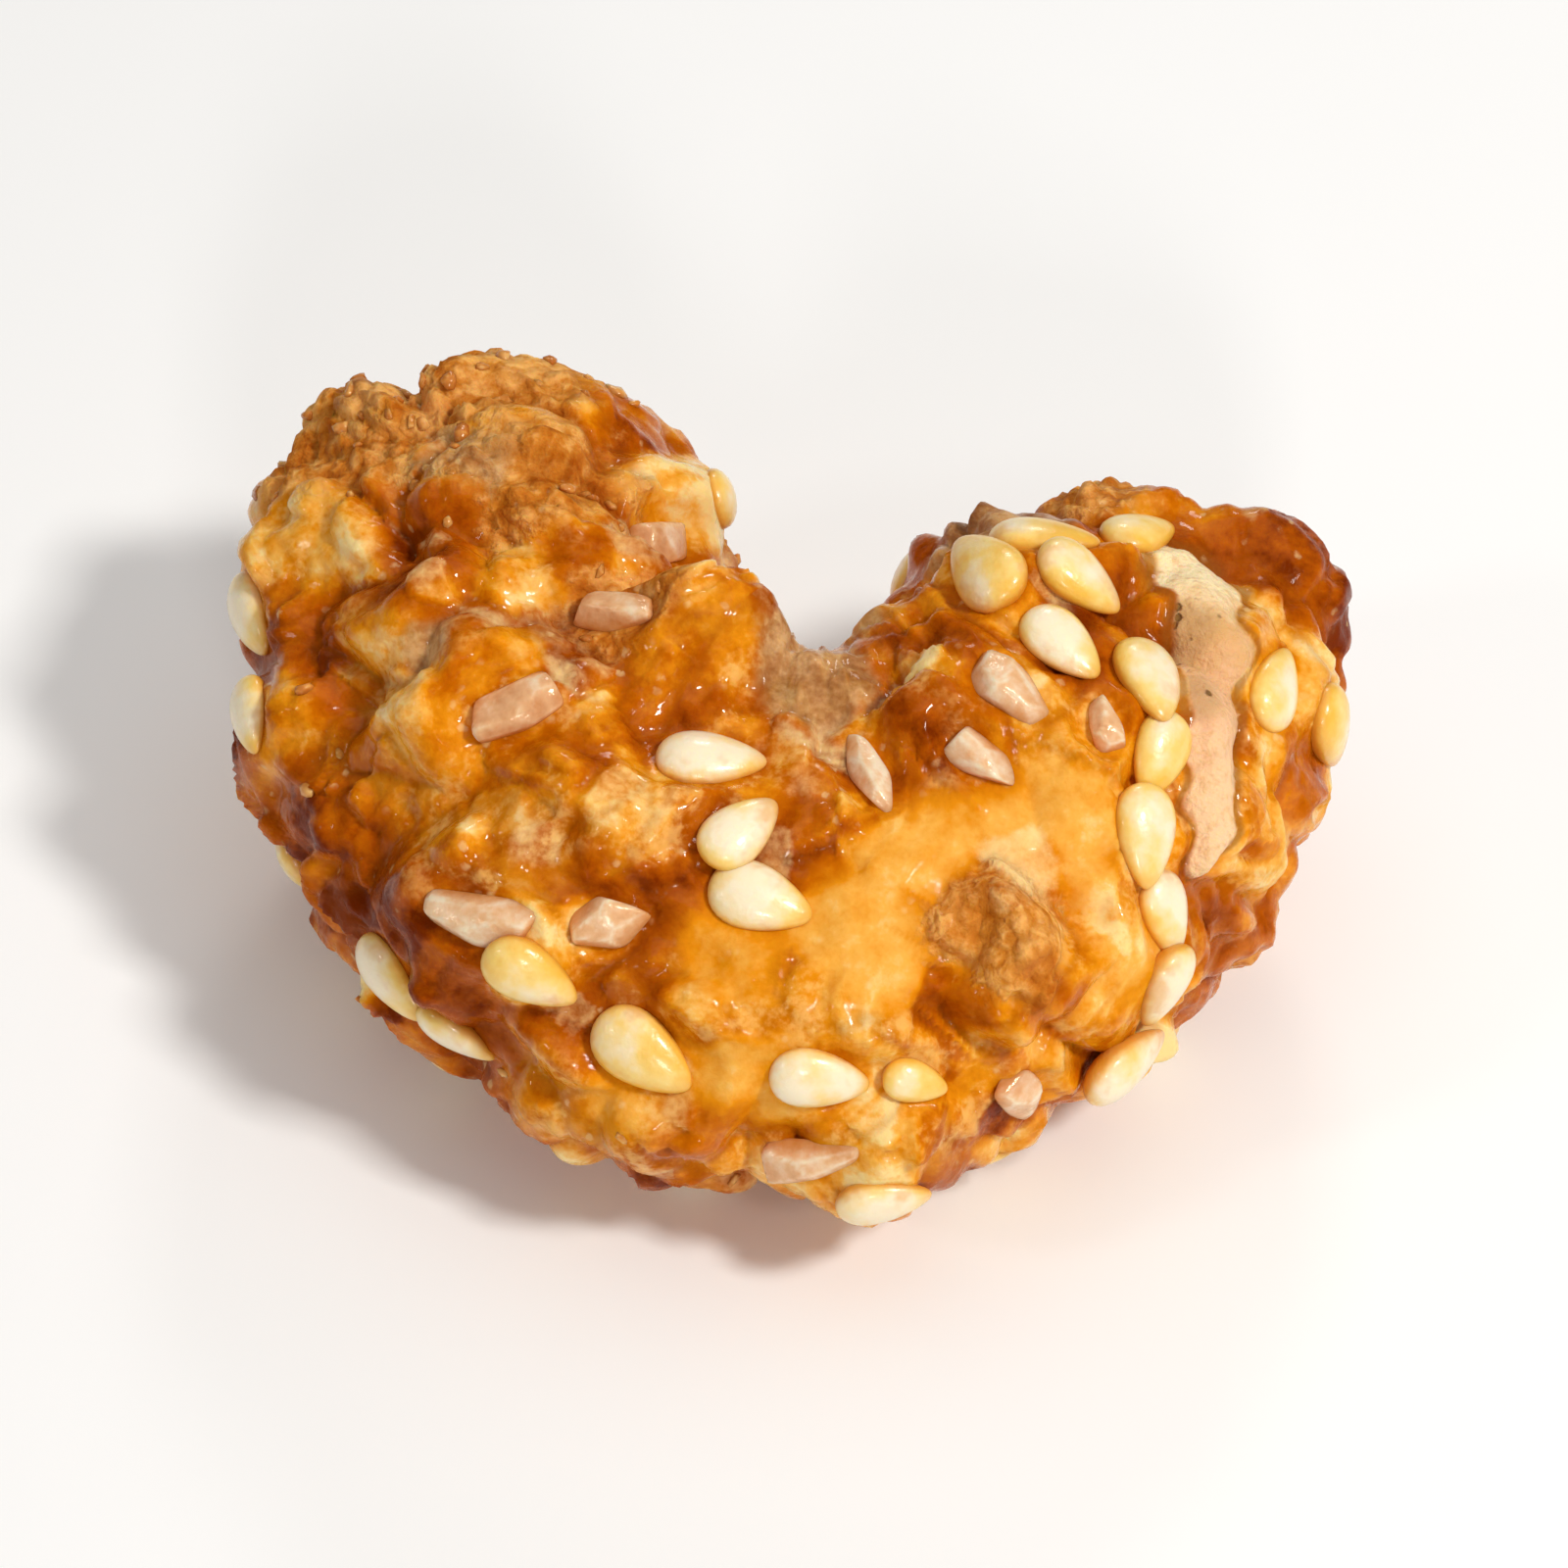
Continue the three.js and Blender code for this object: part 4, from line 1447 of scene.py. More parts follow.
@dataclass(frozen=True)
class SugarGrains(SugarBlocks):
    """Fine grains of sugar on the left lobe, mostly where the coat is dusty or grainy."""

    count: int = 80
    long: Span = (0.32, 0.66)
    long_bias: float = 2.6
    wide: float = 0.88
    thick: float = 0.8
    sunk: float = 0.52
    sharpness: float = 16.0
    uneven: float = 0.32
    rings: int = 7
    sides: int = 8
    grain_bias: float = 1.5
    stray_share: float = 0.03
    bare_clearing: float = 0.9
    rim_clearing: float = 2.0
    right_end: float = -2.0
    heights: Span = (0.4, 13.3)
    seed: int = 5

    def toppings(self, surface: CoatSurface) -> Toppings:
        """Seats for the grains, drawn over the coat's area, mostly where it is grainy.

        Args:
            surface: The finished coat.

        Returns:
            The grains, each sunk by a share of its thickness.
        """
        random = np.random.default_rng(self.seed)
        masks, looks = surface.masks, surface.looks
        chance = np.maximum(masks.grain**self.grain_bias, self.stray_share) * surface.areas
        by_rim = np.minimum(1.0, self.rim_clearing * looks["rim"])
        chance *= (1 - masks.streak) * (1 - self.bare_clearing * masks.bare) * (1 - by_rim)
        lowest, highest = self.heights
        chance *= (surface.points[:, 2] > lowest) * (surface.points[:, 2] < highest)
        chance *= surface.points[:, 0] < self.right_end
        kept = random.choice(len(chance), self.count, replace=False, p=chance / chance.sum())
        sizes = mix(*self.long, random.random(self.count) ** self.long_bias)[:, None]
        sizes = sizes * [[1.0, self.wide, self.thick]]
        out = surface.ways[kept]
        long = unit(np.cross(out, random.normal(size=out.shape)))
        bases = np.stack([long, np.cross(out, long), out], axis=1)
        middles = surface.points[kept] + out * (sizes[:, 2:] * (0.5 - self.sunk))
        return Toppings("sugar_grains", Seats(middles, bases, random.random(self.count)), sizes)


def in_scene(name: str, data: bpy.types.ID) -> bpy.types.Object:
    """Object that shows some data, linked to the scene.

    Args:
        name: The object's name.
        data: Its mesh, light or camera.

    Returns:
        The object.
    """
    thing = bpy.data.objects.new(name, data)
    bpy.context.scene.collection.objects.link(thing)
    return thing


def closed_surface(name: str, points: Array, rings: int, sides: int, copies: int = 1) -> bpy.types.Object:
    """Object made of closed surfaces, each with a pole at both ends and rings between them.

    Args:
        name: The object's name.
        points: For each surface its first pole, its rings in turn, and its last pole.
        rings: Rings between the poles.
        sides: Points round a ring.
        copies: Number of surfaces.

    Returns:
        The object, smooth and linked to the scene, with its origin at the frame's.
    """
    ring, side = np.meshgrid(np.arange(rings - 1), np.arange(sides), indexing="ij")
    here, beside = 1 + ring * sides + side, 1 + ring * sides + (side + 1) % sides
    quads = np.stack([here, here + sides, beside + sides, beside], axis=-1).reshape(-1, 4)
    around = np.arange(sides)
    after = (around + 1) % sides
    last = rings * sides + 1
    end = last - sides
    first_cap = np.stack([np.zeros_like(around), 1 + around, 1 + after], axis=-1)
    last_cap = np.stack([np.full_like(around, last), end + after, end + around], axis=-1)
    starts = (np.arange(copies) * (last + 1))[:, None, None]
    faces = []
    for part in (quads, first_cap, last_cap):
        faces += (part + starts).reshape(-1, part.shape[1]).tolist()
    mesh = bpy.data.meshes.new(name)
    mesh.from_pydata(points, [], faces)
    mesh.validate()
    mesh.shade_smooth()
    return in_scene(name, mesh)


def add_attribute(thing: bpy.types.Object, name: str, values: Array) -> None:
    """Stores one number for each point of a mesh, for its material to read."""
    attribute = thing.data.attributes.new(name, "FLOAT", "POINT")
    attribute.data.foreach_set("value", np.ascontiguousarray(values, dtype=np.float32))


Colour = tuple[float, float, float]
Stops = tuple[tuple[float, Colour], ...]
Settings = Mapping[str, object]
Inputs = Mapping[str | int, object]


def linear(red: int, green: int, blue: int) -> Colour:
    """Colour as a shader takes it, from the 0 to 255 of a screen, by the usual screen curve."""
    parts = (value / 255 for value in (red, green, blue))
    return tuple(p / 12.92 if p <= 0.04045 else ((p + 0.055) / 1.055) ** 2.4 for p in parts)


class Value:
    """A number that varies over a surface. Sums, differences and products of it add Math nodes."""

    def __init__(self, shader: "Shader", socket: bpy.types.NodeSocket) -> None:
        """Wraps a node's output."""
        self.shader = shader
        self.socket = socket

    def _math(self, operation: str, first: object, second: object) -> "Value":
        """Result of one Math node."""
        node = self.shader.node("ShaderNodeMath", {"operation": operation}, {0: first, 1: second})
        return Value(self.shader, node.outputs[0])

    def __add__(self, other: "Value | float") -> "Value":
        """self + other."""
        return self._math("ADD", self, other)

    __radd__ = __add__

    def __sub__(self, other: "Value | float") -> "Value":
        """self - other."""
        return self._math("SUBTRACT", self, other)

    def __rsub__(self, other: float) -> "Value":
        """other - self."""
        return self._math("SUBTRACT", other, self)

    def __mul__(self, other: "Value | float") -> "Value":
        """self times other."""
        return self._math("MULTIPLY", self, other)

    __rmul__ = __mul__

    def step(self, low: float, high: float) -> "Value":
        """Smooth step, also where high is the lower of the two.

        Args:
            low: Value at which the step is 0.
            high: Value from which it is 1.

        Returns:
            The step, from 0 to 1.
        """
        node = self.shader.node(
            "ShaderNodeMapRange",
            {"interpolation_type": "SMOOTHSTEP"},
            {"Value": self, "From Min": low, "From Max": high},
        )
        return Value(self.shader, node.outputs[0])


class Shader:
    """A material's nodes while they are put together."""

    def __init__(self, name: str) -> None:
        """Starts an empty material.

        Args:
            name: The material's name.
        """
        self.material = bpy.data.materials.new(name)
        self.material.use_nodes = True
        self.tree = self.material.node_tree
        self.tree.nodes.clear()
        self.place = self.node("ShaderNodeTexCoord", {}, {}).outputs["Object"]

    def node(self, kind: str, settings: Settings, inputs: Inputs) -> bpy.types.Node:
        """Adds a node: its settings first, then the values or links of its sockets.

        Args:
            kind: The node's type.
            settings: Its properties, such as a Math node's operation. "stops" are a ramp's.
            inputs: Values, sockets or Values, by the socket's name or number.

        Returns:
            The node.
        """
        node = self.tree.nodes.new(kind)
        for name, setting in settings.items():
            if name == "stops":
                ramp = node.color_ramp
                while len(ramp.elements) < len(setting):
                    ramp.elements.new(1.0)
                for element, (position, colour) in zip(ramp.elements, setting):
                    element.position = position
                    element.color = (*colour, 1.0)
            else:
                setattr(node, name, setting)
        for name, value in inputs.items():
            value = value.socket if isinstance(value, Value) else value
            if isinstance(value, bpy.types.NodeSocket):
                self.tree.links.new(value, node.inputs[name])
            else:
                node.inputs[name].default_value = value
        return node

    def attribute(self, name: str) -> Value:
        """A number that the mesh stores for each point."""
        node = self.node("ShaderNodeAttribute", {"attribute_name": name}, {})
        return Value(self, node.outputs["Fac"])

    def noise(self, grain: float, detail: float = 3.0, roughness: float = 0.55) -> Value:
        """Soft noise from 0 to 1, with spots about as large as the grain, in millimetres."""
        inputs = {"Vector": self.place, "Scale": 1 / (grain * MM), "Detail": detail, "Roughness": roughness}
        return Value(self, self.node("ShaderNodeTexNoise", {}, inputs).outputs["Fac"])

    def cells(self, grain: float) -> Value:
        """Distance to the middle of the nearest cell, for cells as large as the grain."""
        inputs = {"Vector": self.place, "Scale": 1 / (grain * MM), "Randomness": 1.0}
        return Value(self, self.node("ShaderNodeTexVoronoi", {}, inputs).outputs["Distance"])

    def ramp(self, amount: Value, stops: Stops) -> bpy.types.NodeSocket:
        """Colour at an amount, from stops."""
        return self.node("ShaderNodeValToRGB", {"stops": stops}, {"Fac": amount}).outputs["Color"]

    def blend(self, under: object, over: object, amount: Value | float) -> bpy.types.NodeSocket:
        """Colour between two, by an amount.

        Args:
            under: Colour at 0.
            over: Colour at 1.
            amount: The amount.

        Returns:
            The colour.
        """
        ends = [(*end, 1.0) if isinstance(end, tuple) else end for end in (under, over)]
        settings = {"data_type": "RGBA", "clamp_factor": True}
        inputs = {0: amount, 6: ends[0], 7: ends[1]}
        return self.node("ShaderNodeMix", settings, inputs).outputs[2]

    def layered(self, colour: object, layers: Sequence[tuple[object, Value]]) -> bpy.types.NodeSocket:
        """Colour with others laid over it in turn, each by its amount.

        Args:
            colour: The colour at the bottom.
            layers: The other colours and their amounts, from the bottom up.

        Returns:
            The colour.
        """
        for over, amount in layers:
            colour = self.blend(colour, over, amount)
        return colour

    def bump(self, height: Value, depth: float) -> bpy.types.NodeSocket:
        """Normal of a surface that the height raises by up to a depth in millimetres."""
        inputs = {"Height": height, "Distance": depth * MM, "Strength": 1.0}
        return self.node("ShaderNodeBump", {}, inputs).outputs["Normal"]

    def finish(self, inputs: Inputs) -> bpy.types.Material:
        """Ends the material with a Principled shader that has these inputs.

        Args:
            inputs: Values, sockets or Values, by the socket's name.

        Returns:
            The finished material.
        """
        surface = self.node("ShaderNodeBsdfPrincipled", {}, inputs).outputs["BSDF"]
        self.node("ShaderNodeOutputMaterial", {}, {"Surface": surface})
        return self.material


@dataclass(frozen=True)
class InnerLight:
    """Light that goes in and scatters: its share, and how far it gets, in red, green and blue."""

    amount: float
    spread: Colour
    reach: float

    def inputs(self) -> Inputs:
        """Inputs that it gives to a Principled shader.

        Returns:
            Values by the socket's name, with the reach in metres.
        """
        return {
            "Subsurface Weight": self.amount,
            "Subsurface Radius": self.spread,
            "Subsurface Scale": self.reach * MM,
        }


@dataclass(frozen=True)
class Edge:
    """Ragged edge of a patch: how far spots and grit shift it, where it starts and is full."""

    spots: float
    grit: float
    start: float
    full: float


CARAMEL_EDGES = {
    "bare": Edge(spots=0.4, grit=0.0, start=0.3, full=0.62),
    "dust": Edge(spots=0.4, grit=0.7, start=0.25, full=0.8),
    "pale": Edge(spots=0.9, grit=0.4, start=0.35, full=0.95),
    "frost": Edge(spots=0.8, grit=0.4, start=0.25, full=0.9),
    "streak": Edge(spots=0.35, grit=0.0, start=0.2, full=0.75),
}


class CaramelShader(Shader):
    """Nodes that all parts of the caramel share: spots, finer grit, pebbles, and dark specks.

    The grains are the sizes of their patterns, in millimetres.
    """

    spot_grain: float = 0.9
    grit_grain: float = 0.22
    pebble_grain: float = 0.55
    speck_grain: float = 0.5

    def __init__(self) -> None:
        """Starts the material with its noises.

        Spots and grit run from 0 to 1, and their offsets from -0.5 to 0.5.
        """
        super().__init__("caramel")
        self.spots = self.noise(self.spot_grain, 4.0)
        self.grit = self.noise(self.grit_grain, 3.0)
        self.off_spots = self.spots - 0.5
        self.off_grit = self.grit - 0.5
        self.pebbles = 0.45 - self.cells(self.pebble_grain)
        self.tone = self.attribute("tone")
        self.pits = self.attribute("pits") + 0.5 * self.off_spots
        specks = self.cells(self.speck_grain) + 0.3 * self.off_grit
        self.specks = specks.step(0.26, 0.12) * self.pits.step(0.2, 0.5)

    def mask(self, name: str, edge: Edge) -> Value:
        """One of the coat's masks, with a ragged edge."""
        shifted = self.attribute(name) + edge.spots * self.off_spots + edge.grit * self.off_grit
        return shifted.step(edge.start, edge.full)


@dataclass(frozen=True)
class CaramelFinish:
    """Set caramel: glassy amber lumps, creases darkened with painted shade, matt sugared patches and pale
    valleys.
    """

    tones: Stops = (
        (0.0, linear(116, 40, 1)),
        (0.23, linear(170, 78, 2)),
        (0.46, linear(198, 104, 1)),
        (0.68, linear(230, 144, 16)),
        (0.86, linear(246, 180, 78)),
        (1.0, linear(252, 216, 144)),
    )
    # Painted shade: the dark colour that the creases between lumps are blended towards.
    crease: Colour = linear(148, 68, 6)
    milk: Colour = linear(246, 194, 112)
    sugar: Stops = ((0.34, linear(166, 82, 17)), (0.5, linear(206, 125, 44)), (0.66, linear(245, 178, 98)))
    crumb: Colour = linear(245, 178, 98)
    pale: Colour = linear(248, 216, 150)
    icing: Stops = ((0.38, linear(140, 92, 50)), (0.5, linear(180, 134, 86)), (0.62, linear(216, 176, 124)))
    kernel: Stops = (
        (0.12, linear(255, 228, 180)),
        (0.36, linear(224, 172, 112)),
        (0.62, linear(240, 190, 148)),
        (0.85, linear(249, 206, 160)),
    )
    kernel_tan: Colour = linear(224, 172, 112)
    kernel_dull: Colour = linear(196, 150, 100)
    speck: Colour = linear(120, 86, 44)
    shadow: Colour = linear(150, 84, 24)
    # Light dots of sugar dust, which also serve as painted glints.
    sugar_fleck_and_glint: Colour = linear(250, 214, 150)
    milk_grain: float = 1.5
    cloud_grain: float = 1.9
    mist_grain: float = 1.4
    fleck_grain: float = 0.62
    fleck_patches: float = 1.8
    light: InnerLight = InnerLight(0.35, (1.0, 0.42, 0.12), 0.5)
    roughness: float = 0.22
    glint: Colour = (1.0, 0.68, 0.34)
    glint_level: float = 0.04
    bump_depth: float = 0.09

    def caramel(self, shader: CaramelShader, bare: Value) -> bpy.types.NodeSocket:
        """Colour of plain caramel: by its tone, darkened with painted shade in creases, and milky where its
        tone is light.

        Args:
            shader: The caramel's nodes.
            bare: How bare the coat is.

        Returns:
            The colour.
        """
        unrest = (0.75 * shader.off_spots + 0.3 * shader.off_grit) * (1 - 0.4 * bare)
        tone = shader.tone + shader.attribute("chip") + unrest - 0.1 * shader.attribute("rim")
        milk = (0.75 * shader.noise(self.milk_grain, 4.0, 0.6) + 0.25 * shader.grit).step(0.51, 0.64)
        milk = milk * (1 - bare) * shader.tone.step(0.42, 0.62)
        # Painted shade: darkening in the creases between lumps, less where the coat is bare.
        creases = 0.3 * shader.attribute("crease") * (1 - bare)
        layers = ((self.crease, creases), (self.milk, 0.55 * milk))
        return shader.layered(shader.ramp(tone, self.tones), layers)

    def brown_sugar(self, shader: CaramelShader) -> bpy.types.NodeSocket:
        """Colour of dusty sugar: cloudy, lighter in the middle of its pebbles and darker between them as
        painted light and shade, with light crumbs.

        Args:
            shader: The caramel's nodes.

        Returns:
            The colour.
        """
        cloud = 0.35 * shader.grit + 0.65 * shader.noise(self.cloud_grain, 5.0, 0.65)
        # Painted highlight and shade: the pebbles term makes each pebble lighter in its middle and darker
        # at its border.
        cloud = cloud + 0.3 * shader.pebbles + 0.36 * shader.attribute("crust") + 0.3 * (shader.tone - 0.5)
        return shader.blend(shader.ramp(cloud, self.sugar), self.crumb, 0.8 * shader.attribute("crumb"))

    def bare_kernel(self, shader: CaramelShader) -> bpy.types.NodeSocket:
        """Colour of the bare kernel: it changes down the streak, and is dull and specked by pits.

        Args:
            shader: The caramel's nodes.

        Returns:
            The colour.
        """
        place = shader.attribute("run") + 0.5 * shader.off_spots
        layers = (
            (self.kernel_tan, 0.5 * shader.grit.step(0.48, 0.7)),
            (self.kernel_dull, 0.75 * shader.pits.step(0.1, 1.1)),
            (self.speck, 0.9 * shader.specks),
        )
        return shader.layered(shader.ramp(place, self.kernel), layers)

    def material(self) -> bpy.types.Material:
        """Caramel whose tone, dust and creases come from the coat's own masks.

        Returns:
            The material.
        """
        shader = CaramelShader()
        masks = (shader.mask(name, edge) for name, edge in CARAMEL_EDGES.items())
        bare, dust, pale, frost, streak = masks
        mist = 0.7 * shader.noise(self.mist_grain, 4.0, 0.6) + 0.3 * shader.grit
        crack = (-1 * shader.attribute("ridge")).step(0.02, 0.12)
        # Light dots: partly sugar dust, partly painted glints on the coat.
        flecks_and_glints = (shader.cells(self.fleck_grain) + 0.5 * shader.off_grit).step(0.24, 0.08)
        flecks_and_glints = flecks_and_glints * shader.noise(self.fleck_patches, 3.0).step(0.48, 0.62) * (1 - streak)
        layers = (
            (self.brown_sugar(shader), 0.85 * dust),
            (self.pale, 0.75 * pale),
            (shader.ramp(mist, self.icing), 0.8 * frost),
            (self.shadow, 0.7 * crack),
            (self.bare_kernel(shader), streak),
            (self.sugar_fleck_and_glint, 0.45 * flecks_and_glints),
        )
        glaze = (0.68 - 0.65 * dust) * (1 - 0.75 * bare) * (1 - streak)
        glaze = glaze * (0.3 + 0.7 * shader.tone.step(0.1, 0.4)) * (1 - 0.85 * shader.attribute("rim"))
        matt = 0.34 * dust + 0.2 * frost + 0.08 * pale + 0.26 * streak + 0.22 * bare
        pebbles = shader.pebbles * (0.3 + 2.2 * dust) * (1 - bare)
        relief = shader.grit * (0.45 + 0.8 * dust + streak) + 0.35 * shader.spots
        relief = relief + pebbles - 1.2 * shader.specks * streak
        return shader.finish(
            {
                "Base Color": shader.layered(self.caramel(shader, bare), layers),
                "Roughness": matt + 0.1 * shader.grit + self.roughness,
                "Coat Weight": glaze * shader.spots.step(0.38, 0.56),
                "Coat Roughness": 0.05,
                "Coat IOR": 1.33,
                "Specular Tint": (*self.glint, 1.0),
                "Specular IOR Level": self.glint_level,
                "IOR": 1.42,
                "Normal": shader.bump(relief, self.bump_depth),
                **self.light.inputs(),
            }
        )


@dataclass(frozen=True)
class SesameFinish:
    """Toasted sesame: cream to golden, painted lighter on top, tan towards the tip and rim, under a thin
    glaze.
    """

    tones: Stops = (
        (0.0, linear(245, 191, 72)),
        (0.35, linear(252, 212, 122)),
        (0.8, linear(254, 234, 200)),
    )
    tan: Colour = linear(228, 161, 54)
    caramel: Colour = linear(212, 130, 28)
    spot_grain: float = 0.6
    patch_grain: float = 1.3
    skin_grain: float = 0.18
    light: InnerLight = InnerLight(0.35, (1.0, 0.6, 0.25), 0.4)
    roughness: float = 0.28
    bump_depth: float = 0.02

    def material(self) -> bpy.types.Material:
        """Seed skin whose colour follows each seed's tone, painted lighter towards its top, with caramel
        creeping up its sides.

        Returns:
            The material.
        """
        shader = Shader("sesame")
        spots = shader.noise(self.spot_grain, 3.0)
        rise = shader.attribute("rise") + 0.2 * (spots - 0.5)
        patches = shader.noise(self.patch_grain, 3.0, 0.5) - 0.5
        # The rise term paints each seed lighter towards its top: a painted highlight over its own tone and
        # patches.
        tone = 0.6 * shader.attribute("tone") + 0.4 * (spots - 0.5) + 1.9 * patches + 1.1 * (rise - 0.66)
        smear = shader.noise(self.patch_grain, 3.0, 0.6).step(0.54, 0.68) * (1 - rise.step(0.8, 1.0))
        layers = (
            (self.tan, 0.55 * smear),
            (self.tan, 0.35 * shader.attribute("tip").step(0.8, 1.0)),
            # Tan towards the lower rim: partly caramel glaze, partly painted shade on the seed's sides.
            (self.tan, 0.4 * (1 - rise.step(0.5, 0.8))),
            (self.caramel, 0.6 * (1 - rise.step(0.42, 0.62))),
        )
        return shader.finish(
            {
                "Base Color": shader.layered(shader.ramp(tone, self.tones), layers),
                "Roughness": self.roughness + 0.14 * spots,
                "Coat Weight": 0.3,
                "Coat Roughness": 0.12,
                "Normal": shader.bump(shader.noise(self.skin_grain, 2.0), self.bump_depth),
                **self.light.inputs(),
            }
        )


@dataclass(frozen=True)
class SugarFinish:
    """Sugar that lets light in: cloudy, with the caramel's colour inside and at its foot, and a painted
    highlight along its edges.
    """

    name: str
    clear: Colour
    cloud: Colour
    heart: Colour
    foot: Colour
    clearness: float
    cloud_grain: float = 0.8
    drift_grain: float = 0.35
    light: InnerLight = InnerLight(0.5, (1.0, 0.68, 0.44), 0.4)
    roughness: float = 0.06
    glint: Colour = (1.0, 0.84, 0.66)
    bump_depth: float = 0.05

    def material(self) -> bpy.types.Material:
        """Sugar whose clouds run from heart to clear, lighter along its edges as a painted highlight,
        tinted by the caramel at its foot.

        Returns:
            The material.
        """
        shader = Shader(self.name)
        spots = shader.noise(self.cloud_grain, 4.0, 0.6)
        drift = shader.noise(self.drift_grain, 3.0, 0.5)
        rise = shader.attribute("rise") + 0.35 * (spots - 0.5)
        tone = 0.4 * shader.attribute("tone") + 1.5 * (spots - 0.5) + 0.5 * (drift - 0.5) + 0.2
        # Painted highlight: the tone is raised along the edges between faces.
        tone = tone + 0.36 * shader.attribute("edge")
        colour = shader.ramp(tone, ((0.0, self.heart), (0.45, self.cloud), (0.9, self.clear)))
        return shader.finish(
            {
                "Base Color": shader.blend(colour, self.foot, 0.8 * (1 - rise.step(0.4, 0.85))),
                "Roughness": self.roughness + 0.2 * spots,
                "Transmission Weight": self.clearness,
                "Specular Tint": (*self.glint, 1.0),
                "IOR": 1.42,
                "Normal": shader.bump(drift, self.bump_depth),
                **self.light.inputs(),
            }
        )


CRYSTAL_SUGAR = SugarFinish(
    name="crystal_sugar",
    clear=linear(255, 228, 196),
    cloud=linear(241, 191, 142),
    heart=linear(218, 154, 102),
    foot=linear(210, 126, 44),
    clearness=0.1,
)

GRAIN_SUGAR = SugarFinish(
    name="grain_sugar",
    clear=linear(234, 180, 108),
    cloud=linear(206, 134, 60),
    heart=linear(176, 100, 36),
    foot=linear(170, 92, 24),
    clearness=0.0,
)


@dataclass(frozen=True)
class Light:
    """Square soft light that faces the nut: where it stands, how far, its side, watts and tint."""

    name: str
    way: tuple[float, float, float]
    distance: float
    side: float
    power: float
    tint: Colour = (1.0, 1.0, 1.0)

    def build(self) -> bpy.types.Object:
        """Stands the light up in the scene.

        Returns:
            Its object.
        """
        lamp = bpy.data.lights.new(self.name, "AREA")
        lamp.size = self.side
        lamp.energy = self.power
        lamp.color = self.tint
        stand = in_scene(self.name, lamp)
        way = Vector(self.way).normalized()
        stand.location = way * self.distance
        stand.rotation_euler = way.to_track_quat("Z", "Y").to_euler()
        return stand


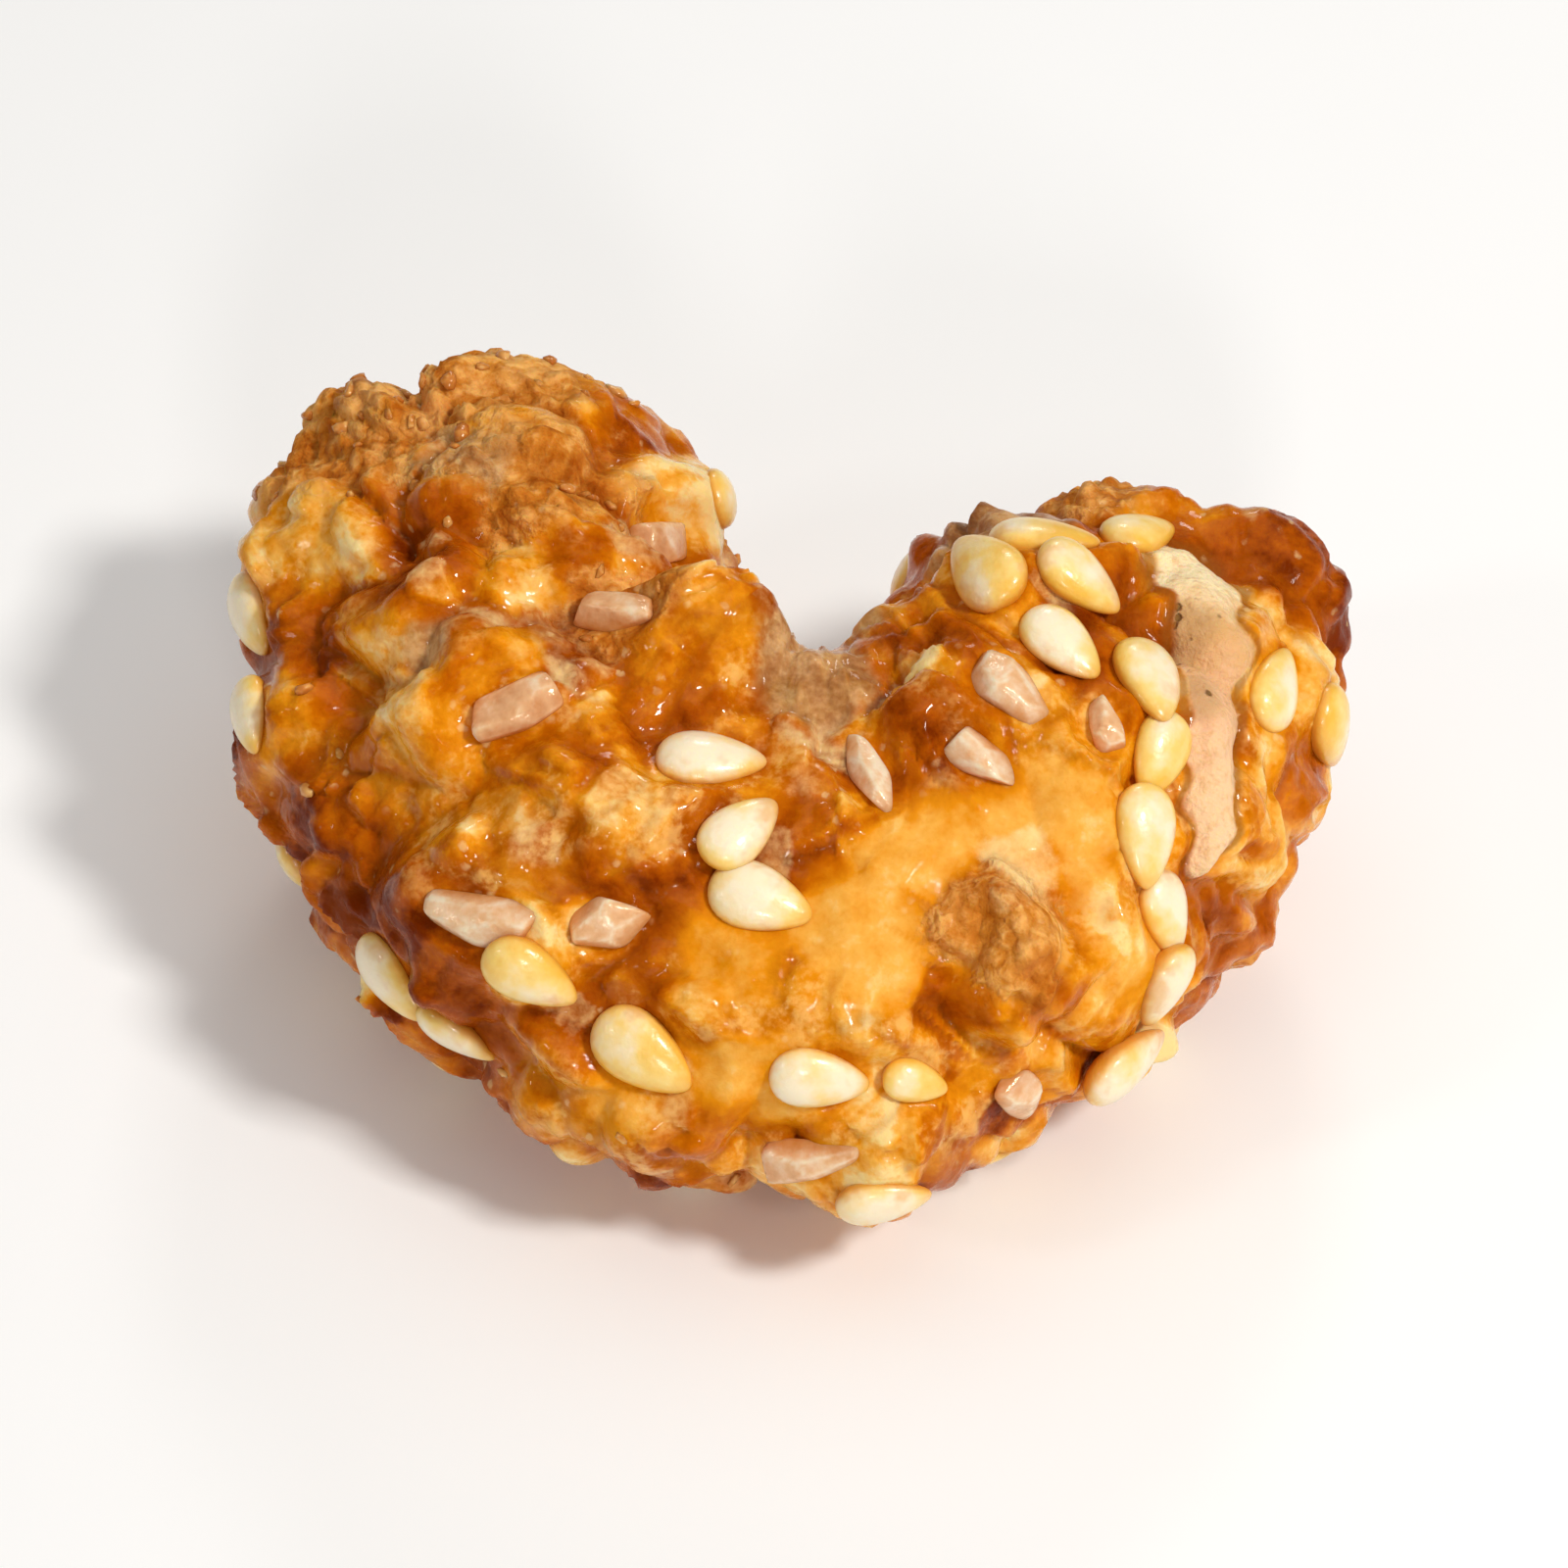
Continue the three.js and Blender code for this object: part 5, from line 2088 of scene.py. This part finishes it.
@dataclass(frozen=True)
class Studio:
    """Pale floor, soft lights, and the camera at the photograph's viewing angle."""

    lights: tuple[Light, ...] = (
        Light("key", (0.6, -0.35, 0.9), 0.35, 0.05, 0.74, (1.0, 0.98, 0.94)),
        Light("above", (0.0, 0.2, 1.0), 0.4, 0.45, 0.43),
        Light("front", (0.1, -1.0, 0.5), 0.4, 0.06, 0.32),
        Light("left", (-0.9, -0.4, 0.7), 0.4, 0.05, 0.12),
        Light("back", (0.1, 0.9, 0.6), 0.35, 0.06, 0.15),
    )
    floor_side: float = 3.0
    floor_shade: Colour = (0.97, 0.97, 0.97)
    sky_shade: Colour = (1.0, 0.96, 0.9)
    sky_light: float = 0.155
    elevation: float = 48.0
    lens: float = 135.0
    sensor: float = 36.0
    filled: float = 0.72

    def floor(self) -> bpy.types.Object:
        """Wide flat sheet at the height of the nut's underside, marked as stage.

        Returns:
            The sheet.
        """
        half = self.floor_side / 2
        corners = [(-half, -half, 0.0), (half, -half, 0.0), (half, half, 0.0), (-half, half, 0.0)]
        mesh = bpy.data.meshes.new("table")
        mesh.from_pydata(corners, [], [(0, 1, 2, 3)])
        table = in_scene("table", mesh)
        finish = Shader("table").finish({"Base Color": (*self.floor_shade, 1.0), "Roughness": 0.6})
        mesh.materials.append(finish)
        table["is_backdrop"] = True
        return table

    def sky(self) -> bpy.types.World:
        """Even light from all around.

        Returns:
            The scene's world.
        """
        sky = bpy.data.worlds.new("sky")
        sky.use_nodes = True
        background = sky.node_tree.nodes["Background"]
        background.inputs["Color"].default_value = (*self.sky_shade, 1.0)
        background.inputs["Strength"].default_value = self.sky_light
        bpy.context.scene.world = sky
        return sky

    def camera(self, low: Vector, high: Vector) -> bpy.types.Object:
        """Camera that looks down on the middle of the nut's box from in front.

        The distance is the one at which the box's width fills the stated share of the frame.

        Args:
            low: Lowest corner of the box.
            high: Highest corner of the box.

        Returns:
            The camera, which the scene looks through.
        """
        lens = bpy.data.cameras.new("camera")
        lens.lens = self.lens
        lens.sensor_width = self.sensor
        lens.clip_start = 0.005
        lens.clip_end = 10.0
        half_view = math.atan(self.sensor / 2 / self.lens)
        distance = (high.x - low.x) / self.filled / 2 / math.tan(half_view)
        tilt = math.radians(self.elevation)
        back = Vector((0.0, -math.cos(tilt), math.sin(tilt)))
        eye = in_scene("camera", lens)
        eye.location = (low + high) / 2 + back * distance
        eye.rotation_euler = back.to_track_quat("Z", "Y").to_euler()
        bpy.context.scene.camera = eye
        return eye

    def set_up(self, low: Vector, high: Vector) -> None:
        """Makes the floor, the lights, the sky and the camera.

        Args:
            low: Lowest corner of the nut's box.
            high: Highest corner of the box.
        """
        self.floor()
        for light in self.lights:
            light.build()
        self.sky()
        bpy.context.scene.view_settings.view_transform = "Standard"
        self.camera(low, high)


def show(piece: bpy.types.Object, finish: bpy.types.Material) -> bpy.types.Object:
    """Dresses a piece, and ties it to the nut's body.

    Args:
        piece: The piece.
        finish: Its material.

    Returns:
        The piece.
    """
    piece.data.materials.append(finish)
    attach(piece, "root")
    LOG.info("%s: %d points, %d faces", piece.name, len(piece.data.vertices), len(piece.data.polygons))
    return piece


def main() -> None:
    """Builds the nut and the studio."""
    logging.basicConfig(level=logging.INFO, format="%(name)s %(message)s")
    low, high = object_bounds()
    relief = Relief()
    coat = CaramelCoat(relief)
    seeds, crystals, grains = SesameSeeds(), SugarCrystals(), SugarGrains()
    seed_toppings = seeds.toppings(relief)
    crystal_toppings = crystals.toppings(relief)
    surface = coat.surface([seed_toppings, crystal_toppings])
    grain_toppings = grains.toppings(surface)
    shell = show(coat.build(surface), CaramelFinish().material())
    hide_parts(NODE)
    for toppings, kind, finish, slot in (
        (seed_toppings, seeds, SesameFinish(), "sesame"),
        (crystal_toppings, crystals, CRYSTAL_SUGAR, "sugar"),
        (grain_toppings, grains, GRAIN_SUGAR, "sugar"),
    ):
        show(toppings.build(relief.crescent, *kind.forms(toppings)), finish.material())
    Studio().set_up(low, high)


if __name__ == "__main__":
    main()
